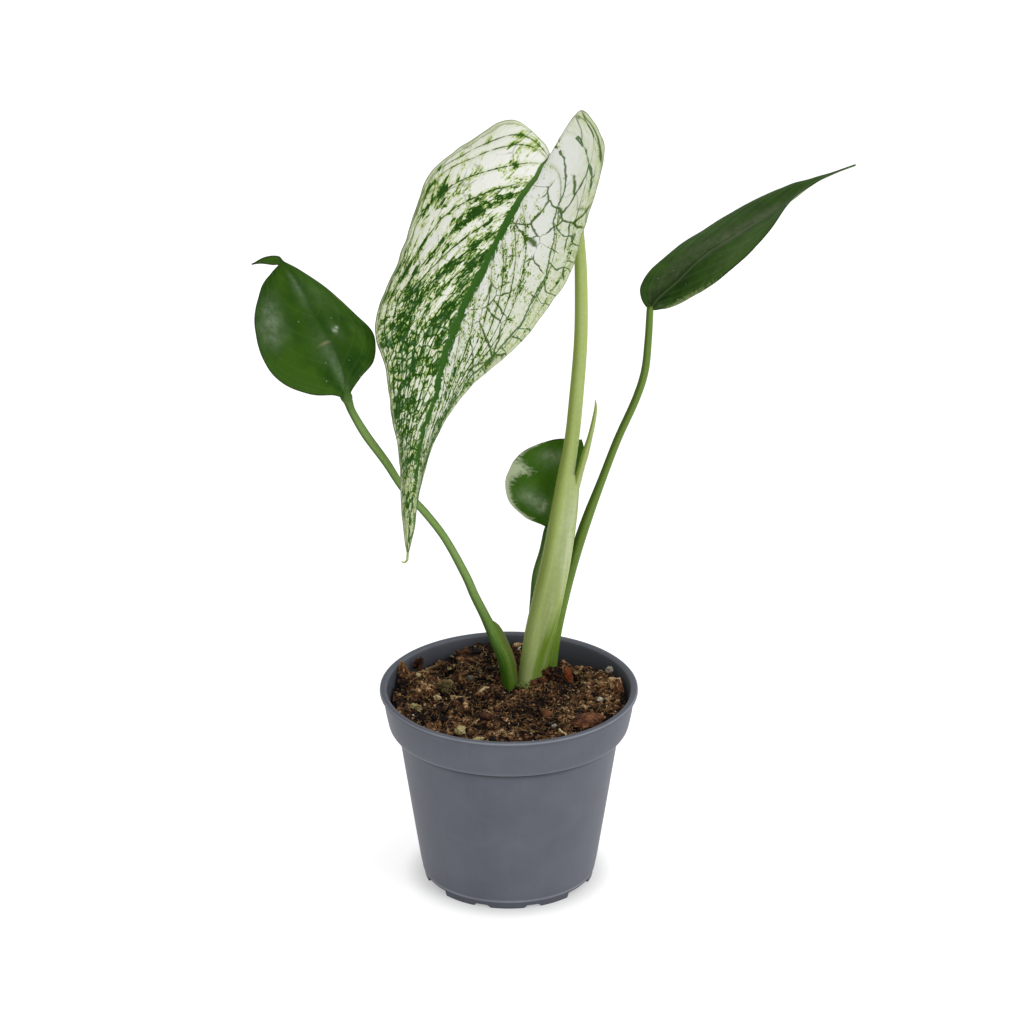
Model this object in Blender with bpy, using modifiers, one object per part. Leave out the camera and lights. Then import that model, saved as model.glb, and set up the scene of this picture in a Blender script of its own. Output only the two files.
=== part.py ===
"""A young potted monstera: a small plastic nursery pot, its soil with the crown and roots inside,
four leaves on their stalks, a furled new leaf, and the loose bits that lie on the soil.

The origin is on the ground under the middle of the pot, with +Z up. The plant faces -Y.
Sizes in this file are in millimetres, and MM turns them to metres as each mesh is made.
"""

import math

import bmesh
import bpy
import numpy as np

MM = 0.001
GAP = 0.35  # left between two pieces that touch on the real plant
ROOM = 0.6  # left in the soil round the feet of the stalks
ROOM_DEPTH = 4.0  # and how far it goes on below each foot

# Pot
POT_HEIGHT = 48.0
RIM_RADIUS = 30.0
RIM_INNER_RADIUS = 28.4
COLLAR_TOP_RADIUS = 29.2
COLLAR_FOOT_RADIUS = 27.9
COLLAR_FOOT_HEIGHT = 38.2
STEP_RISE = 1.1  # from the collar's foot up to the top of the sloping step inside
BODY_TOP_RADIUS = 25.8
FOOT_RADIUS = 20.3
FOOT_HEIGHT = 4.1
WALL = 1.0
FLOOR_HEIGHT = 2.8
FOOT_RING = 1.6  # width of the ring the pot stands on
FOOT_RECESS = 1.4
PAD_RADIUS = 5.0
TURNS = 48
NOTCHES = [  # in the foot ring: degrees round from the front, width and height
    (-60.0, 8.5, 1.2), (-18.5, 3.5, 0.7), (16.5, 3.5, 0.7), (57.0, 9.0, 1.2), (98.0, 3.5, 0.7),
    (133.0, 3.5, 0.7), (175.0, 8.5, 1.2), (216.0, 3.5, 0.7), (251.0, 3.5, 0.7),
]
DRAIN_COUNT = 4
DRAIN_RADIUS = 1.8
DRAIN_CIRCLE = 11.5

# Soil
SOIL_LEVEL = 43.6
HILLS = [  # place, rise and reach of each: banked up behind the stalks and against the wall, low between
    (-4.5, 23.0, 3.7, 8.0), (-24.5, 8.5, 3.0, 3.6), (23.0, 10.0, 2.3, 5.0), (15.0, 25.0, -1.4, 4.5),
    (9.0, 8.0, 1.3, 4.5), (26.0, -3.0, 0.9, 5.0),
]
SOIL_EDGE_ROOM = 1.1  # from the top edge of the soil to the collar's widest inner wall
SOIL_RINGS = 7
SOIL_TURNS = 36
CROWN_PLACE = (4.5, 13.0, 37.5)
CROWN_SIZE = (7.0, 6.5, 5.2)  # half sizes
ROOT_RADIUS = 0.9
ROOT_COUNT = 4

# Stalks: centre line and radius, from the crown up
LARGE_STALK = [
    (4.5, 10.5, 43.1, 2.6), (5.5, 11.0, 50.5, 2.65), (6.5, 12.0, 57.0, 2.6), (8.0, 13.0, 64.0, 2.55),
    (10.0, 14.0, 74.0, 2.35), (11.5, 15.0, 83.5, 2.15), (13.0, 16.5, 93.0, 1.95), (14.5, 17.5, 102.5, 1.7),
    (15.5, 18.5, 112.5, 1.65), (16.5, 19.5, 127.0, 1.55), (16.5, 20.0, 141.5, 1.45), (16.0, 20.5, 151.0, 1.3),
    (15.0, 21.0, 160.5, 1.2), (12.8, 19.9, 167.8, 1.15), (9.8, 16.9, 172.0, 0.95),
]
LARGE_SHEATH = [
    (7.4, 10.5, 46.0, 1.6), (8.2, 10.5, 52.0, 1.65), (9.5, 10.4, 57.5, 1.65), (11.1, 11.0, 65.0, 1.65),
    (13.0, 12.5, 74.5, 1.55), (14.5, 14.0, 84.0, 1.35), (15.3, 15.0, 91.0, 1.1), (15.9, 15.8, 95.0, 0.9),
]
NEW_LEAF = [
    (16.8, 15.9, 96.6, 0.8), (17.7, 15.9, 100.0, 0.8), (18.7, 15.8, 104.0, 0.6), (19.5, 15.5, 108.0, 0.5),
    (20.0, 15.4, 111.5, 0.35), (19.9, 15.2, 113.6, 0.12),
]
RIGHT_STALK = [
    (9.2, 14.6, 42.2, 1.8), (10.3, 14.7, 53.0, 1.75), (12.4, 15.3, 63.0, 1.55), (15.0, 15.8, 73.0, 1.35),
    (18.0, 15.0, 83.5, 1.2), (21.5, 13.5, 94.5, 0.95), (25.0, 11.5, 105.5, 0.9), (29.0, 10.0, 116.0, 0.9),
    (31.0, 9.0, 123.5, 0.9), (31.7, 8.5, 131.5, 0.85), (32.0, 8.1, 138.6, 0.8),
]
LEFT_STALK = [
    (0.3, 9.1, 41.5, 1.5), (-1.0, 7.3, 51.0, 1.55), (-3.0, 6.0, 57.0, 1.45), (-5.5, 5.0, 63.5, 1.15),
    (-8.0, 4.0, 69.5, 1.05), (-10.0, 3.0, 75.0, 1.0), (-14.5, 2.0, 84.5, 0.9), (-19.0, 1.0, 91.5, 0.9),
    (-24.0, 0.0, 98.0, 0.85), (-28.0, -0.5, 105.0, 0.95), (-32.5, -1.0, 112.0, 1.0), (-35.4, -1.4, 117.6, 0.9),
    (-36.3, -1.3, 120.1, 0.85),
]
LEFT_SHEATH = [
    (0.9, 8.6, 46.5, 1.2), (0.4, 7.9, 50.5, 1.25), (-1.0, 7.0, 56.0, 1.15), (-3.0, 6.0, 60.5, 0.95),
    (-4.1, 5.5, 62.8, 0.55),
]
SMALL_STALK = [
    (5.9, 17.4, 42.3, 1.15), (5.5, 17.5, 52.0, 1.15), (6.0, 18.7, 61.5, 1.05), (6.5, 19.7, 67.5, 1.0),
    (8.0, 20.9, 73.0, 0.9), (8.9, 21.6, 77.6, 0.85),
]

# Blades: midrib, then left and right margins, each from the stalk's end round to the tip.
# Points of one index face each other across the blade.
LARGE_MIDRIB = [
    (9.5, 16.0, 172.5), (9.0, 16.0, 172.3), (8.5, 15.8, 171.7), (7.5, 15.0, 171.0), (6.0, 13.5, 168.5),
    (3.0, 10.5, 165.5), (-1.0, 6.5, 159.5), (-5.5, 2.5, 151.5), (-10.5, -1.5, 142.5), (-14.0, -5.0, 133.5),
    (-16.5, -7.5, 124.0), (-19.5, -9.0, 115.5), (-21.0, -10.0, 105.0), (-22.5, -11.0, 95.0), (-23.0, -11.0, 86.0),
]
LARGE_LEFT = [
    (9.5, 16.0, 172.5), (7.5, 18.0, 176.0), (0.5, 19.0, 180.5), (-8.5, 17.0, 176.5), (-17.5, 14.0, 170.0),
    (-21.0, 10.5, 162.0), (-25.0, 6.0, 151.5), (-29.0, 2.0, 143.0), (-30.0, -1.0, 136.5), (-27.5, -4.0, 128.0),
    (-26.5, -6.5, 119.0), (-25.0, -8.0, 112.5), (-24.5, -9.5, 103.0), (-24.0, -10.5, 92.5), (-23.0, -11.0, 86.0),
]
LARGE_RIGHT = [
    (9.5, 16.0, 172.5), (11.5, 18.0, 176.0), (16.5, 20.0, 182.5), (21.5, 21.0, 174.5), (20.5, 20.0, 165.5),
    (17.0, 17.0, 155.0), (14.5, 14.0, 146.5), (9.0, 9.0, 139.0), (1.5, 3.5, 131.5), (-8.0, -1.5, 124.5),
    (-13.5, -5.0, 118.5), (-17.5, -7.5, 111.0), (-20.0, -9.5, 102.0), (-21.5, -10.5, 92.5), (-23.0, -11.0, 86.0),
]
LEFT_MIDRIB = [
    (-36.5, -2.0, 120.5), (-37.0, -2.0, 121.5), (-37.0, -2.0, 123.0), (-37.5, -1.0, 127.0), (-39.5, 0.5, 132.0),
    (-42.5, 2.5, 137.0), (-45.5, 4.5, 142.0), (-48.5, 6.5, 147.0), (-50.5, 7.5, 149.5), (-51.5, 8.0, 150.7),
    (-53.5, 7.5, 151.0), (-56.0, 7.0, 151.0), (-58.0, 6.5, 150.5),
]
LEFT_LEFT = [
    (-36.5, -2.0, 120.5), (-37.5, -2.5, 121.5), (-39.5, -3.0, 122.5), (-45.0, -2.5, 122.5), (-52.0, -0.5, 125.0),
    (-56.0, 1.5, 130.5), (-57.5, 4.5, 137.5), (-56.0, 7.0, 144.5), (-53.5, 8.0, 148.0), (-52.0, 8.0, 149.7),
    (-53.5, 7.5, 150.0), (-56.0, 7.0, 150.5), (-58.0, 6.5, 150.5),
]
LEFT_RIGHT = [
    (-36.5, -2.0, 120.5), (-36.0, -1.5, 121.0), (-35.5, -1.5, 123.0), (-33.5, -1.0, 126.0), (-30.5, 0.5, 129.5),
    (-30.5, 3.0, 135.0), (-35.0, 5.0, 139.5), (-41.0, 7.0, 144.5), (-47.0, 8.0, 148.5), (-50.5, 8.0, 150.5),
    (-52.0, 8.0, 152.0), (-55.0, 7.3, 152.0), (-58.0, 6.5, 150.5),
]
RIGHT_MIDRIB = [
    (32.0, 8.0, 139.0), (32.0, 8.0, 139.5), (32.5, 8.0, 140.0), (34.0, 8.0, 142.0), (38.0, 8.5, 145.5),
    (44.0, 9.0, 151.5), (51.5, 9.5, 156.5), (58.5, 10.0, 161.0), (64.5, 10.5, 165.5), (68.5, 11.0, 168.5),
    (72.5, 11.5, 170.5), (78.0, 12.0, 172.5),
]
RIGHT_BACK = [
    (32.0, 8.0, 139.0), (31.0, 8.5, 139.5), (30.0, 10.0, 141.0), (30.0, 12.5, 143.0), (32.5, 15.5, 146.0),
    (38.5, 18.0, 150.5), (47.0, 19.0, 156.0), (55.5, 18.5, 161.5), (63.0, 16.0, 166.0), (68.0, 13.5, 168.5),
    (72.5, 12.0, 170.5), (78.0, 12.0, 172.5),
]
RIGHT_FRONT = [
    (32.0, 8.0, 139.0), (33.0, 7.5, 139.0), (34.5, 7.0, 139.5), (36.5, 5.5, 140.5), (40.0, 3.5, 143.0),
    (46.0, 1.0, 148.0), (52.5, 0.5, 154.0), (58.5, 2.0, 160.5), (63.0, 5.5, 166.0), (68.5, 9.0, 169.0),
    (72.5, 11.0, 170.5), (78.0, 12.0, 172.5),
]
SMALL_MIDRIB = [
    (9.0, 21.5, 78.0), (9.0, 21.5, 78.5), (9.5, 21.5, 80.0), (10.5, 22.0, 83.5), (12.0, 23.0, 88.0),
    (14.0, 23.5, 93.0), (15.5, 24.0, 97.0), (17.0, 24.0, 100.0),
]
SMALL_LEFT = [
    (9.0, 21.5, 78.0), (8.2, 21.5, 79.4), (3.7, 20.6, 81.8), (-0.2, 20.0, 86.6), (-0.5, 21.0, 92.5),
    (3.5, 22.0, 98.0), (10.5, 23.0, 100.5), (17.0, 24.0, 100.0),
]
SMALL_RIGHT = [
    (9.0, 21.5, 78.0), (9.5, 22.0, 78.5), (11.0, 22.5, 80.0), (13.5, 23.0, 83.0), (16.0, 23.5, 88.0),
    (17.5, 24.0, 93.0), (17.5, 24.0, 97.5), (17.0, 24.0, 100.0),
]
FORWARD = (0.0, -0.86, 0.51)  # the way the hanging blades face
UPWARD = (0.0, -0.2, 0.98)  # the way the level blade faces
BLADE_THICKNESS = 0.5

# Loose bits on the soil: name, place on the soil (x, y), half sizes (x, y, z), turn in degrees
BARK = [
    ("bark_chip_1", (13.9, 10.8), (1.2, 0.7, 1.9), 12.0),
    ("bark_chip_2", (18.0, -10.6), (3.6, 2.2, 0.8), 12.0),
    ("bark_chip_3", (25.2, 2.2), (0.7, 2.0, 1.5), -4.0),
    ("bark_chip_4", (-5.5, -9.0), (2.1, 1.4, 0.9), -12.0),
    ("bark_chip_5", (-14.9, 6.5), (2.1, 1.8, 1.4), 30.0),
    ("bark_chip_6", (-21.3, 14.6), (1.1, 0.9, 1.6), 40.0),
]
PERLITE = [
    ("perlite_1", (21.2, -1.6), 0.65),
    ("perlite_2", (23.6, 11.4), 0.8),
    ("perlite_3", (2.7, 24.0), 0.55),
    ("perlite_4", (-9.1, 11.0), 0.95),
    ("perlite_5", (10.4, -12.4), 0.6),
    ("perlite_6", (-16.7, 2.9), 0.8),
]
FIBRE_RADIUS = 0.3
# Fibres: two ends on the soil
FIBRES = [
    ("fibre_1", (-6.9, 4.2), (-4.7, 6.6)),
    ("fibre_2", (-19.6, 15.4), (-15.1, 17.6)),
    ("fibre_3", (11.6, -14.2), (13.3, -18.0)),
]

POT_GREY = (0.125, 0.135, 0.160)
SOIL_BROWN = (0.030, 0.017, 0.010)
ROOT_CREAM = (0.55, 0.43, 0.28)
STALK_GREEN = (0.30, 0.42, 0.12)
DARK_STALK_GREEN = (0.12, 0.22, 0.035)
VARIEGATED = (0.50, 0.58, 0.42)
LEAF_GREEN = (0.035, 0.110, 0.015)
BARK_BROWN = (0.14, 0.055, 0.025)
PERLITE_WHITE = (0.65, 0.63, 0.58)
FIBRE_TAN = (0.42, 0.28, 0.16)


def along(points, t):
    """Points of a Catmull-Rom curve through the rows of points, at each t from 0 to 1."""
    rows = np.asarray(points, float)
    padded = np.vstack([2 * rows[0] - rows[1], rows, 2 * rows[-1] - rows[-2]])
    place = np.clip(np.asarray(t, float), 0.0, 1.0) * (len(rows) - 1)
    index = np.minimum(place.astype(int), len(rows) - 2)
    f = (place - index)[..., None]
    a, b, c, d = (padded[index + k] for k in range(4))
    return 0.5 * (
        2 * b
        + (c - a) * f
        + (2 * a - 5 * b + 4 * c - d) * f**2
        + (3 * b - a - 3 * c + d) * f**3
    )


def soil_height(x, y):
    """Height of the soil: nearly level, with a hill for each row of HILLS, and a slight ripple."""
    height = SOIL_LEVEL + 0.35 * np.sin(0.45 * x + 0.3) * np.cos(0.38 * y)
    for across, back, rise, reach in HILLS:
        height = height + rise * np.exp(-((x - across) ** 2 + (y - back) ** 2) / (2 * reach**2))
    return height


def material(name, colour, roughness):
    made = bpy.data.materials.new(name)
    made.use_nodes = True
    shader = made.node_tree.nodes["Principled BSDF"]
    shader.inputs["Base Color"].default_value = (*colour, 1.0)
    shader.inputs["Roughness"].default_value = roughness
    return made


def add_object(name, mesh, collection, finish=None):
    obj = bpy.data.objects.new(name, mesh)
    collection.objects.link(obj)
    if finish:
        mesh.materials.clear()
        mesh.materials.append(finish)
    mesh.shade_smooth()
    mesh.set_sharp_from_angle(angle=math.radians(40))
    return obj


def add_cutter(name, mesh):
    obj = add_object(name, mesh, cutters)
    obj.hide_render = True
    obj.display_type = "WIRE"
    return obj


def boolean(obj, other, operation):
    cut = obj.modifiers.new(f"{operation.lower()} {other.name}", "BOOLEAN")
    cut.object = other
    cut.operation = operation


def turned(name, profile, steps):
    """A mesh of one profile in the XZ plane with a Screw modifier's turn, made real."""
    mesh = bpy.data.meshes.new(name)
    bm = bmesh.new()
    corners = [bm.verts.new((r * MM, 0.0, z * MM)) for r, z in profile]
    for start, end in zip(corners, corners[1:]):
        bm.edges.new((start, end))
    bm.to_mesh(mesh)
    bm.free()
    return with_screw(name, mesh, steps)


def with_screw(name, mesh, steps):
    obj = bpy.data.objects.new(name, mesh)
    guides.objects.link(obj)
    screw = obj.modifiers.new("turn", "SCREW")
    screw.steps = steps
    screw.render_steps = steps
    screw.use_merge_vertices = True
    screw.merge_threshold = 0.00001
    return real_mesh(obj)


def real_mesh(obj):
    """The object's mesh as its modifiers leave it, welded, with the object itself removed."""
    graph = bpy.context.evaluated_depsgraph_get()
    mesh = bpy.data.meshes.new_from_object(obj.evaluated_get(graph))
    mesh.name = obj.name
    bm = bmesh.new()
    bm.from_mesh(mesh)
    bmesh.ops.remove_doubles(bm, verts=bm.verts, dist=0.000001)
    bmesh.ops.recalc_face_normals(bm, faces=bm.faces)
    bm.to_mesh(mesh)
    bm.free()
    bpy.data.objects.remove(obj)
    return mesh


def stalk_mesh(name, rows, count, grow=0.0, roundness=2):
    """A tapered tube along a smooth curve through rows of x, y, z and radius, with its ends capped."""
    path = along(rows, np.linspace(0, 1, count))
    curve = bpy.data.curves.new(name, "CURVE")
    curve.dimensions = "3D"
    curve.bevel_depth = MM
    curve.bevel_resolution = roundness
    curve.use_fill_caps = True
    spline = curve.splines.new("POLY")
    spline.points.add(count - 1)
    for point, (x, y, z, radius) in zip(spline.points, path):
        point.co = (x * MM, y * MM, z * MM, 1.0)
        point.radius = radius + grow
    obj = bpy.data.objects.new(name, curve)
    guides.objects.link(obj)
    return real_mesh(obj)


def blade(name, midrib, left, right, face, bow, steps, across, finish):
    """A leaf blade. A point of each half is M + (E - M) r + F 4 b |E - M| r (1 - r), where M is on the
    midrib, E on the margin, r runs from 0 at the midrib to 1, F is the way the blade faces and b its bow.
    """
    mesh = bpy.data.meshes.new(name)
    bm = bmesh.new()
    bmesh.ops.create_grid(bm, x_segments=steps, y_segments=2 * across, size=1.0)
    bm.verts.ensure_lookup_table()
    flat = np.array([v.co[:] for v in bm.verts])
    t = (flat[:, 0] + 1) / 2
    r = np.abs(flat[:, 1])[:, None]
    middle = along(midrib, t)
    edge = np.where(flat[:, 1:2] < 0, along(left, t), along(right, t))
    swell = 4 * bow * np.linalg.norm(edge - middle, axis=1, keepdims=True) * r * (1 - r)
    place = middle + (edge - middle) * r + np.array(face) * swell
    for vertex, point in zip(bm.verts, place * MM):
        vertex.co = point
    bmesh.ops.remove_doubles(bm, verts=bm.verts, dist=0.000001)
    bm.to_mesh(mesh)
    bm.free()
    obj = add_object(name, mesh, plant, finish)
    solid = obj.modifiers.new("thickness", "SOLIDIFY")
    solid.thickness = BLADE_THICKNESS * MM
    solid.offset = 0.0
    return obj


def make_pot(finish):
    """A thin cup turned from its profile: inner wall up, over the rim, down the collar, the step under it
    and the tapered body to the foot ring, with notches in the foot and drain holes in the floor.
    """
    profile = [
        (0.0, FLOOR_HEIGHT),
        (FOOT_RADIUS - WALL - 1.2, FLOOR_HEIGHT),
        (FOOT_RADIUS - WALL + 0.1, FLOOR_HEIGHT + 1.2),
        (BODY_TOP_RADIUS - WALL - 0.1, COLLAR_FOOT_HEIGHT - 0.6),
        (COLLAR_FOOT_RADIUS - WALL, COLLAR_FOOT_HEIGHT + STEP_RISE),
        (COLLAR_TOP_RADIUS - WALL, POT_HEIGHT - 1.4),
        (RIM_INNER_RADIUS, POT_HEIGHT - 0.4),
        (RIM_INNER_RADIUS + 0.5, POT_HEIGHT),
        (RIM_RADIUS - 0.5, POT_HEIGHT),
        (RIM_RADIUS, POT_HEIGHT - 0.4),
        (RIM_RADIUS, POT_HEIGHT - 0.8),
        (COLLAR_TOP_RADIUS, POT_HEIGHT - 1.15),
        (COLLAR_FOOT_RADIUS + 0.2, COLLAR_FOOT_HEIGHT + 1.4),
        (COLLAR_FOOT_RADIUS - 0.3, COLLAR_FOOT_HEIGHT + 0.3),
        (BODY_TOP_RADIUS + 0.3, COLLAR_FOOT_HEIGHT),
        (BODY_TOP_RADIUS, COLLAR_FOOT_HEIGHT - 0.4),
        (FOOT_RADIUS + 0.15, FOOT_HEIGHT),
        (FOOT_RADIUS - 0.1, 1.9),
        (FOOT_RADIUS - 0.5, 1.3),
        (FOOT_RADIUS - 0.5, 0.0),
        (FOOT_RADIUS - FOOT_RING, 0.0),
        (FOOT_RADIUS - FOOT_RING, FOOT_RECESS),
        (PAD_RADIUS, FOOT_RECESS),
        (PAD_RADIUS, 0.0),
        (0.0, 0.0),
    ]
    pot = add_object("pot", turned("pot", profile, TURNS), plant, finish)
    for k, (turn, width, height) in enumerate(NOTCHES):
        angle = math.radians(turn - 90)
        mesh = bpy.data.meshes.new("notch")
        bm = bmesh.new()
        bmesh.ops.create_cube(bm, size=1.0)
        size = (2.6 * FOOT_RING * MM, width * MM, 2 * height * MM)
        bmesh.ops.scale(bm, verts=bm.verts, vec=size)
        bm.to_mesh(mesh)
        bm.free()
        notch = add_cutter(f"notch_{k + 1}", mesh)
        across = FOOT_RADIUS * math.cos(angle)
        back = FOOT_RADIUS * math.sin(angle)
        notch.location = (across * MM, back * MM, 0.0)
        notch.rotation_euler = (0.0, 0.0, angle)
        boolean(pot, notch, "DIFFERENCE")
    for k in range(DRAIN_COUNT):
        angle = math.tau * (k + 0.5) / DRAIN_COUNT
        mesh = bpy.data.meshes.new("drain")
        bm = bmesh.new()
        radius = DRAIN_RADIUS * MM
        depth = 2 * FLOOR_HEIGHT * MM
        bmesh.ops.create_cone(bm, cap_ends=True, segments=12, radius1=radius, radius2=radius, depth=depth)
        bm.to_mesh(mesh)
        bm.free()
        drain = add_cutter(f"drain_{k + 1}", mesh)
        across = DRAIN_CIRCLE * math.cos(angle)
        back = DRAIN_CIRCLE * math.sin(angle)
        drain.location = (across * MM, back * MM, 0.75 * FLOOR_HEIGHT * MM)
        boolean(pot, drain, "DIFFERENCE")


def make_soil(finish):
    """A turned plug that clears the pot's inner wall, with its top raised to soil_height."""
    edge = COLLAR_TOP_RADIUS - WALL - SOIL_EDGE_ROOM
    rings = [(edge * k / SOIL_RINGS, SOIL_LEVEL) for k in range(SOIL_RINGS + 1)]
    profile = rings + [
        (COLLAR_FOOT_RADIUS - WALL - GAP, COLLAR_FOOT_HEIGHT + STEP_RISE + GAP),
        (BODY_TOP_RADIUS - WALL - GAP - 0.15, COLLAR_FOOT_HEIGHT - 0.6),
        (FOOT_RADIUS - WALL - GAP - 0.05, FLOOR_HEIGHT + 1.2 + GAP),
        (FOOT_RADIUS - WALL - 1.5 - GAP, FLOOR_HEIGHT + GAP),
        (0.0, FLOOR_HEIGHT + GAP),
    ]
    soil = add_object("soil", turned("soil", profile, SOIL_TURNS), plant, finish)
    places = np.array([v.co[:] for v in soil.data.vertices]) / MM
    top = places[:, 2] > SOIL_LEVEL - 0.01
    places[top, 2] = soil_height(places[top, 0], places[top, 1])
    for vertex, place in zip(soil.data.vertices, places * MM):
        vertex.co = place
    return soil


def crown_mesh(name, grow):
    bm = bmesh.new()
    bmesh.ops.create_uvsphere(bm, u_segments=12, v_segments=6, radius=1.0)
    size = [(side + grow) * MM for side in CROWN_SIZE]
    bmesh.ops.scale(bm, verts=bm.verts, vec=size)
    bmesh.ops.translate(bm, verts=bm.verts, vec=[place * MM for place in CROWN_PLACE])
    mesh = bpy.data.meshes.new(name)
    bm.to_mesh(mesh)
    bm.free()
    return mesh


def root_rows(k, extra=0.0):
    """One root: out of the crown and down in a slow bend towards the floor of the pot, and extra deeper."""
    turn = math.tau * k / ROOT_COUNT + 0.4
    x, y, z = CROWN_PLACE
    reach = [1.5, 5.0, 8.0, 9.0, 8.5]
    drop = [0.5, 4.0, 12.0, 20.0, 27.5 - 2.0 * (k % 2) + extra]
    rows = []
    for step, (out, down) in enumerate(zip(reach, drop)):
        bend = turn + 0.15 * step
        radius = ROOT_RADIUS * (1 - 0.12 * step)
        centring = 1 - 0.5 * min(1.0, down / 12)
        across = x * centring + out * math.cos(bend)
        back = y * centring + out * math.sin(bend)
        rows.append((across, back, z - down, radius))
    return rows


def make_crown_and_roots(finish):
    crown = add_object("crown_and_roots", crown_mesh("crown_and_roots", 0.0), plant, finish)
    for k in range(ROOT_COUNT):
        root = add_cutter(f"root_{k + 1}", stalk_mesh(f"root_{k + 1}", root_rows(k), 5, roundness=1))
        boolean(crown, root, "UNION")


def make_soil_hollow(soil):
    """Room in the soil for the crown, the roots and the feet of the stalks, open at the top."""
    hollow = add_cutter("hollow", crown_mesh("hollow", GAP))
    for k in range(ROOT_COUNT):
        rows = root_rows(k, 2 * GAP)
        root = add_cutter(f"root_room_{k + 1}", stalk_mesh(f"root_room_{k + 1}", rows, 5, GAP, roundness=1))
        boolean(hollow, root, "UNION")
    feet = {"large": LARGE_STALK, "right": RIGHT_STALK, "left": LEFT_STALK, "small": SMALL_STALK}
    feet |= {"large_sheath": LARGE_SHEATH, "left_sheath": LEFT_SHEATH}
    for name, rows in feet.items():
        x, y, z, radius = rows[0]
        lean = 0.3 if z < SOIL_LEVEL else 0.0  # a stalk's foot leans in to the crown
        below_x = x + lean * (CROWN_PLACE[0] - x)
        below_y = y + lean * (CROWN_PLACE[1] - y)
        below = [(below_x, below_y, z - ROOM_DEPTH, radius)]
        room = add_cutter(f"{name}_room", stalk_mesh(f"{name}_room", below + rows[:2], 4, ROOM))
        boolean(hollow, room, "UNION")
    boolean(soil, hollow, "DIFFERENCE")


def lump_mesh(name, place, size, turn, seed):
    """A rounded lump: a sphere of the three half sizes with shallow seeded dents, seated on the soil."""
    noise = np.random.default_rng(seed)
    bm = bmesh.new()
    bmesh.ops.create_icosphere(bm, subdivisions=2, radius=1.0)
    points = np.array([v.co[:] for v in bm.verts])
    waves = noise.uniform(-2.5, 2.5, (3, 3))
    dent = 1 + 0.12 * np.sin(points @ waves.T + noise.uniform(0, 6, 3)).sum(axis=1)
    points = points * dent[:, None] * size
    angle = math.radians(turn)
    spun = points.copy()
    spun[:, 0] = points[:, 0] * math.cos(angle) - points[:, 1] * math.sin(angle) + place[0]
    spun[:, 1] = points[:, 0] * math.sin(angle) + points[:, 1] * math.cos(angle) + place[1]
    spun[:, 2] += GAP + 0.05 - (points[:, 2] - soil_height(spun[:, 0], spun[:, 1])).min()
    for vertex, point in zip(bm.verts, spun * MM):
        vertex.co = point
    mesh = bpy.data.meshes.new(name)
    bm.to_mesh(mesh)
    bm.free()
    return mesh


def fibre_rows(start, end):
    """A thin fibre that lies along the soil from start to end."""
    share = np.linspace(0, 1, 5)
    x = start[0] + (end[0] - start[0]) * share + 0.15 * np.sin(5 * share)
    y = start[1] + (end[1] - start[1]) * share
    z = soil_height(x, y) + FIBRE_RADIUS + GAP + 0.1
    return list(zip(x, y, z, np.full(5, FIBRE_RADIUS)))


for old in list(bpy.data.objects):
    bpy.data.objects.remove(old)

plant = bpy.data.collections.new("potted_monstera")
cutters = bpy.data.collections.new("cutters")
guides = bpy.data.collections.new("guides")
for group in (plant, cutters, guides):
    bpy.context.scene.collection.children.link(group)

grey_plastic = material("grey plastic", POT_GREY, 0.5)
soil_finish = material("soil", SOIL_BROWN, 0.95)
root_finish = material("root", ROOT_CREAM, 0.7)
stalk_finish = material("pale stalk", STALK_GREEN, 0.45)
dark_stalk_finish = material("dark stalk", DARK_STALK_GREEN, 0.45)
variegated_finish = material("variegated leaf", VARIEGATED, 0.4)
leaf_finish = material("green leaf", LEAF_GREEN, 0.35)
bark_finish = material("bark", BARK_BROWN, 0.9)
perlite_finish = material("perlite", PERLITE_WHITE, 0.9)
fibre_finish = material("fibre", FIBRE_TAN, 0.9)

make_pot(grey_plastic)
soil_plug = make_soil(soil_finish)
make_crown_and_roots(root_finish)
make_soil_hollow(soil_plug)

large_stalk = add_object(
    "large_leaf_petiole", stalk_mesh("large_leaf_petiole", LARGE_STALK, 26), plant, stalk_finish
)
large_sheath = add_cutter("large_sheath", stalk_mesh("large_sheath", LARGE_SHEATH, 14))
boolean(large_stalk, large_sheath, "UNION")
left_stalk = add_object(
    "left_leaf_petiole", stalk_mesh("left_leaf_petiole", LEFT_STALK, 24), plant, dark_stalk_finish
)
left_sheath = add_cutter("left_sheath", stalk_mesh("left_sheath", LEFT_SHEATH, 9))
boolean(left_stalk, left_sheath, "UNION")
single_stalks = [
    ("right_leaf_petiole", RIGHT_STALK, 22, dark_stalk_finish),
    ("small_leaf_petiole", SMALL_STALK, 12, dark_stalk_finish),
    ("furled_new_leaf", NEW_LEAF, 10, stalk_finish),
]
for name, rows, count, finish in single_stalks:
    add_object(name, stalk_mesh(name, rows, count), plant, finish)

blade("large_leaf", LARGE_MIDRIB, LARGE_LEFT, LARGE_RIGHT, FORWARD, 0.1, 30, 6, variegated_finish)
blade("left_leaf", LEFT_MIDRIB, LEFT_LEFT, LEFT_RIGHT, FORWARD, 0.12, 24, 4, leaf_finish)
blade("right_leaf", RIGHT_MIDRIB, RIGHT_BACK, RIGHT_FRONT, UPWARD, 0.06, 22, 4, leaf_finish)
blade("small_leaf", SMALL_MIDRIB, SMALL_LEFT, SMALL_RIGHT, FORWARD, 0.12, 14, 4, leaf_finish)

for number, (name, place, size, turn) in enumerate(BARK):
    add_object(name, lump_mesh(name, place, size, turn, number), plant, bark_finish)
for number, (name, place, radius) in enumerate(PERLITE):
    add_object(name, lump_mesh(name, place, (radius,) * 3, 0.0, 20 + number), plant, perlite_finish)
for name, start, end in FIBRES:
    add_object(name, stalk_mesh(name, fibre_rows(start, end), 5), plant, fibre_finish)
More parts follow.
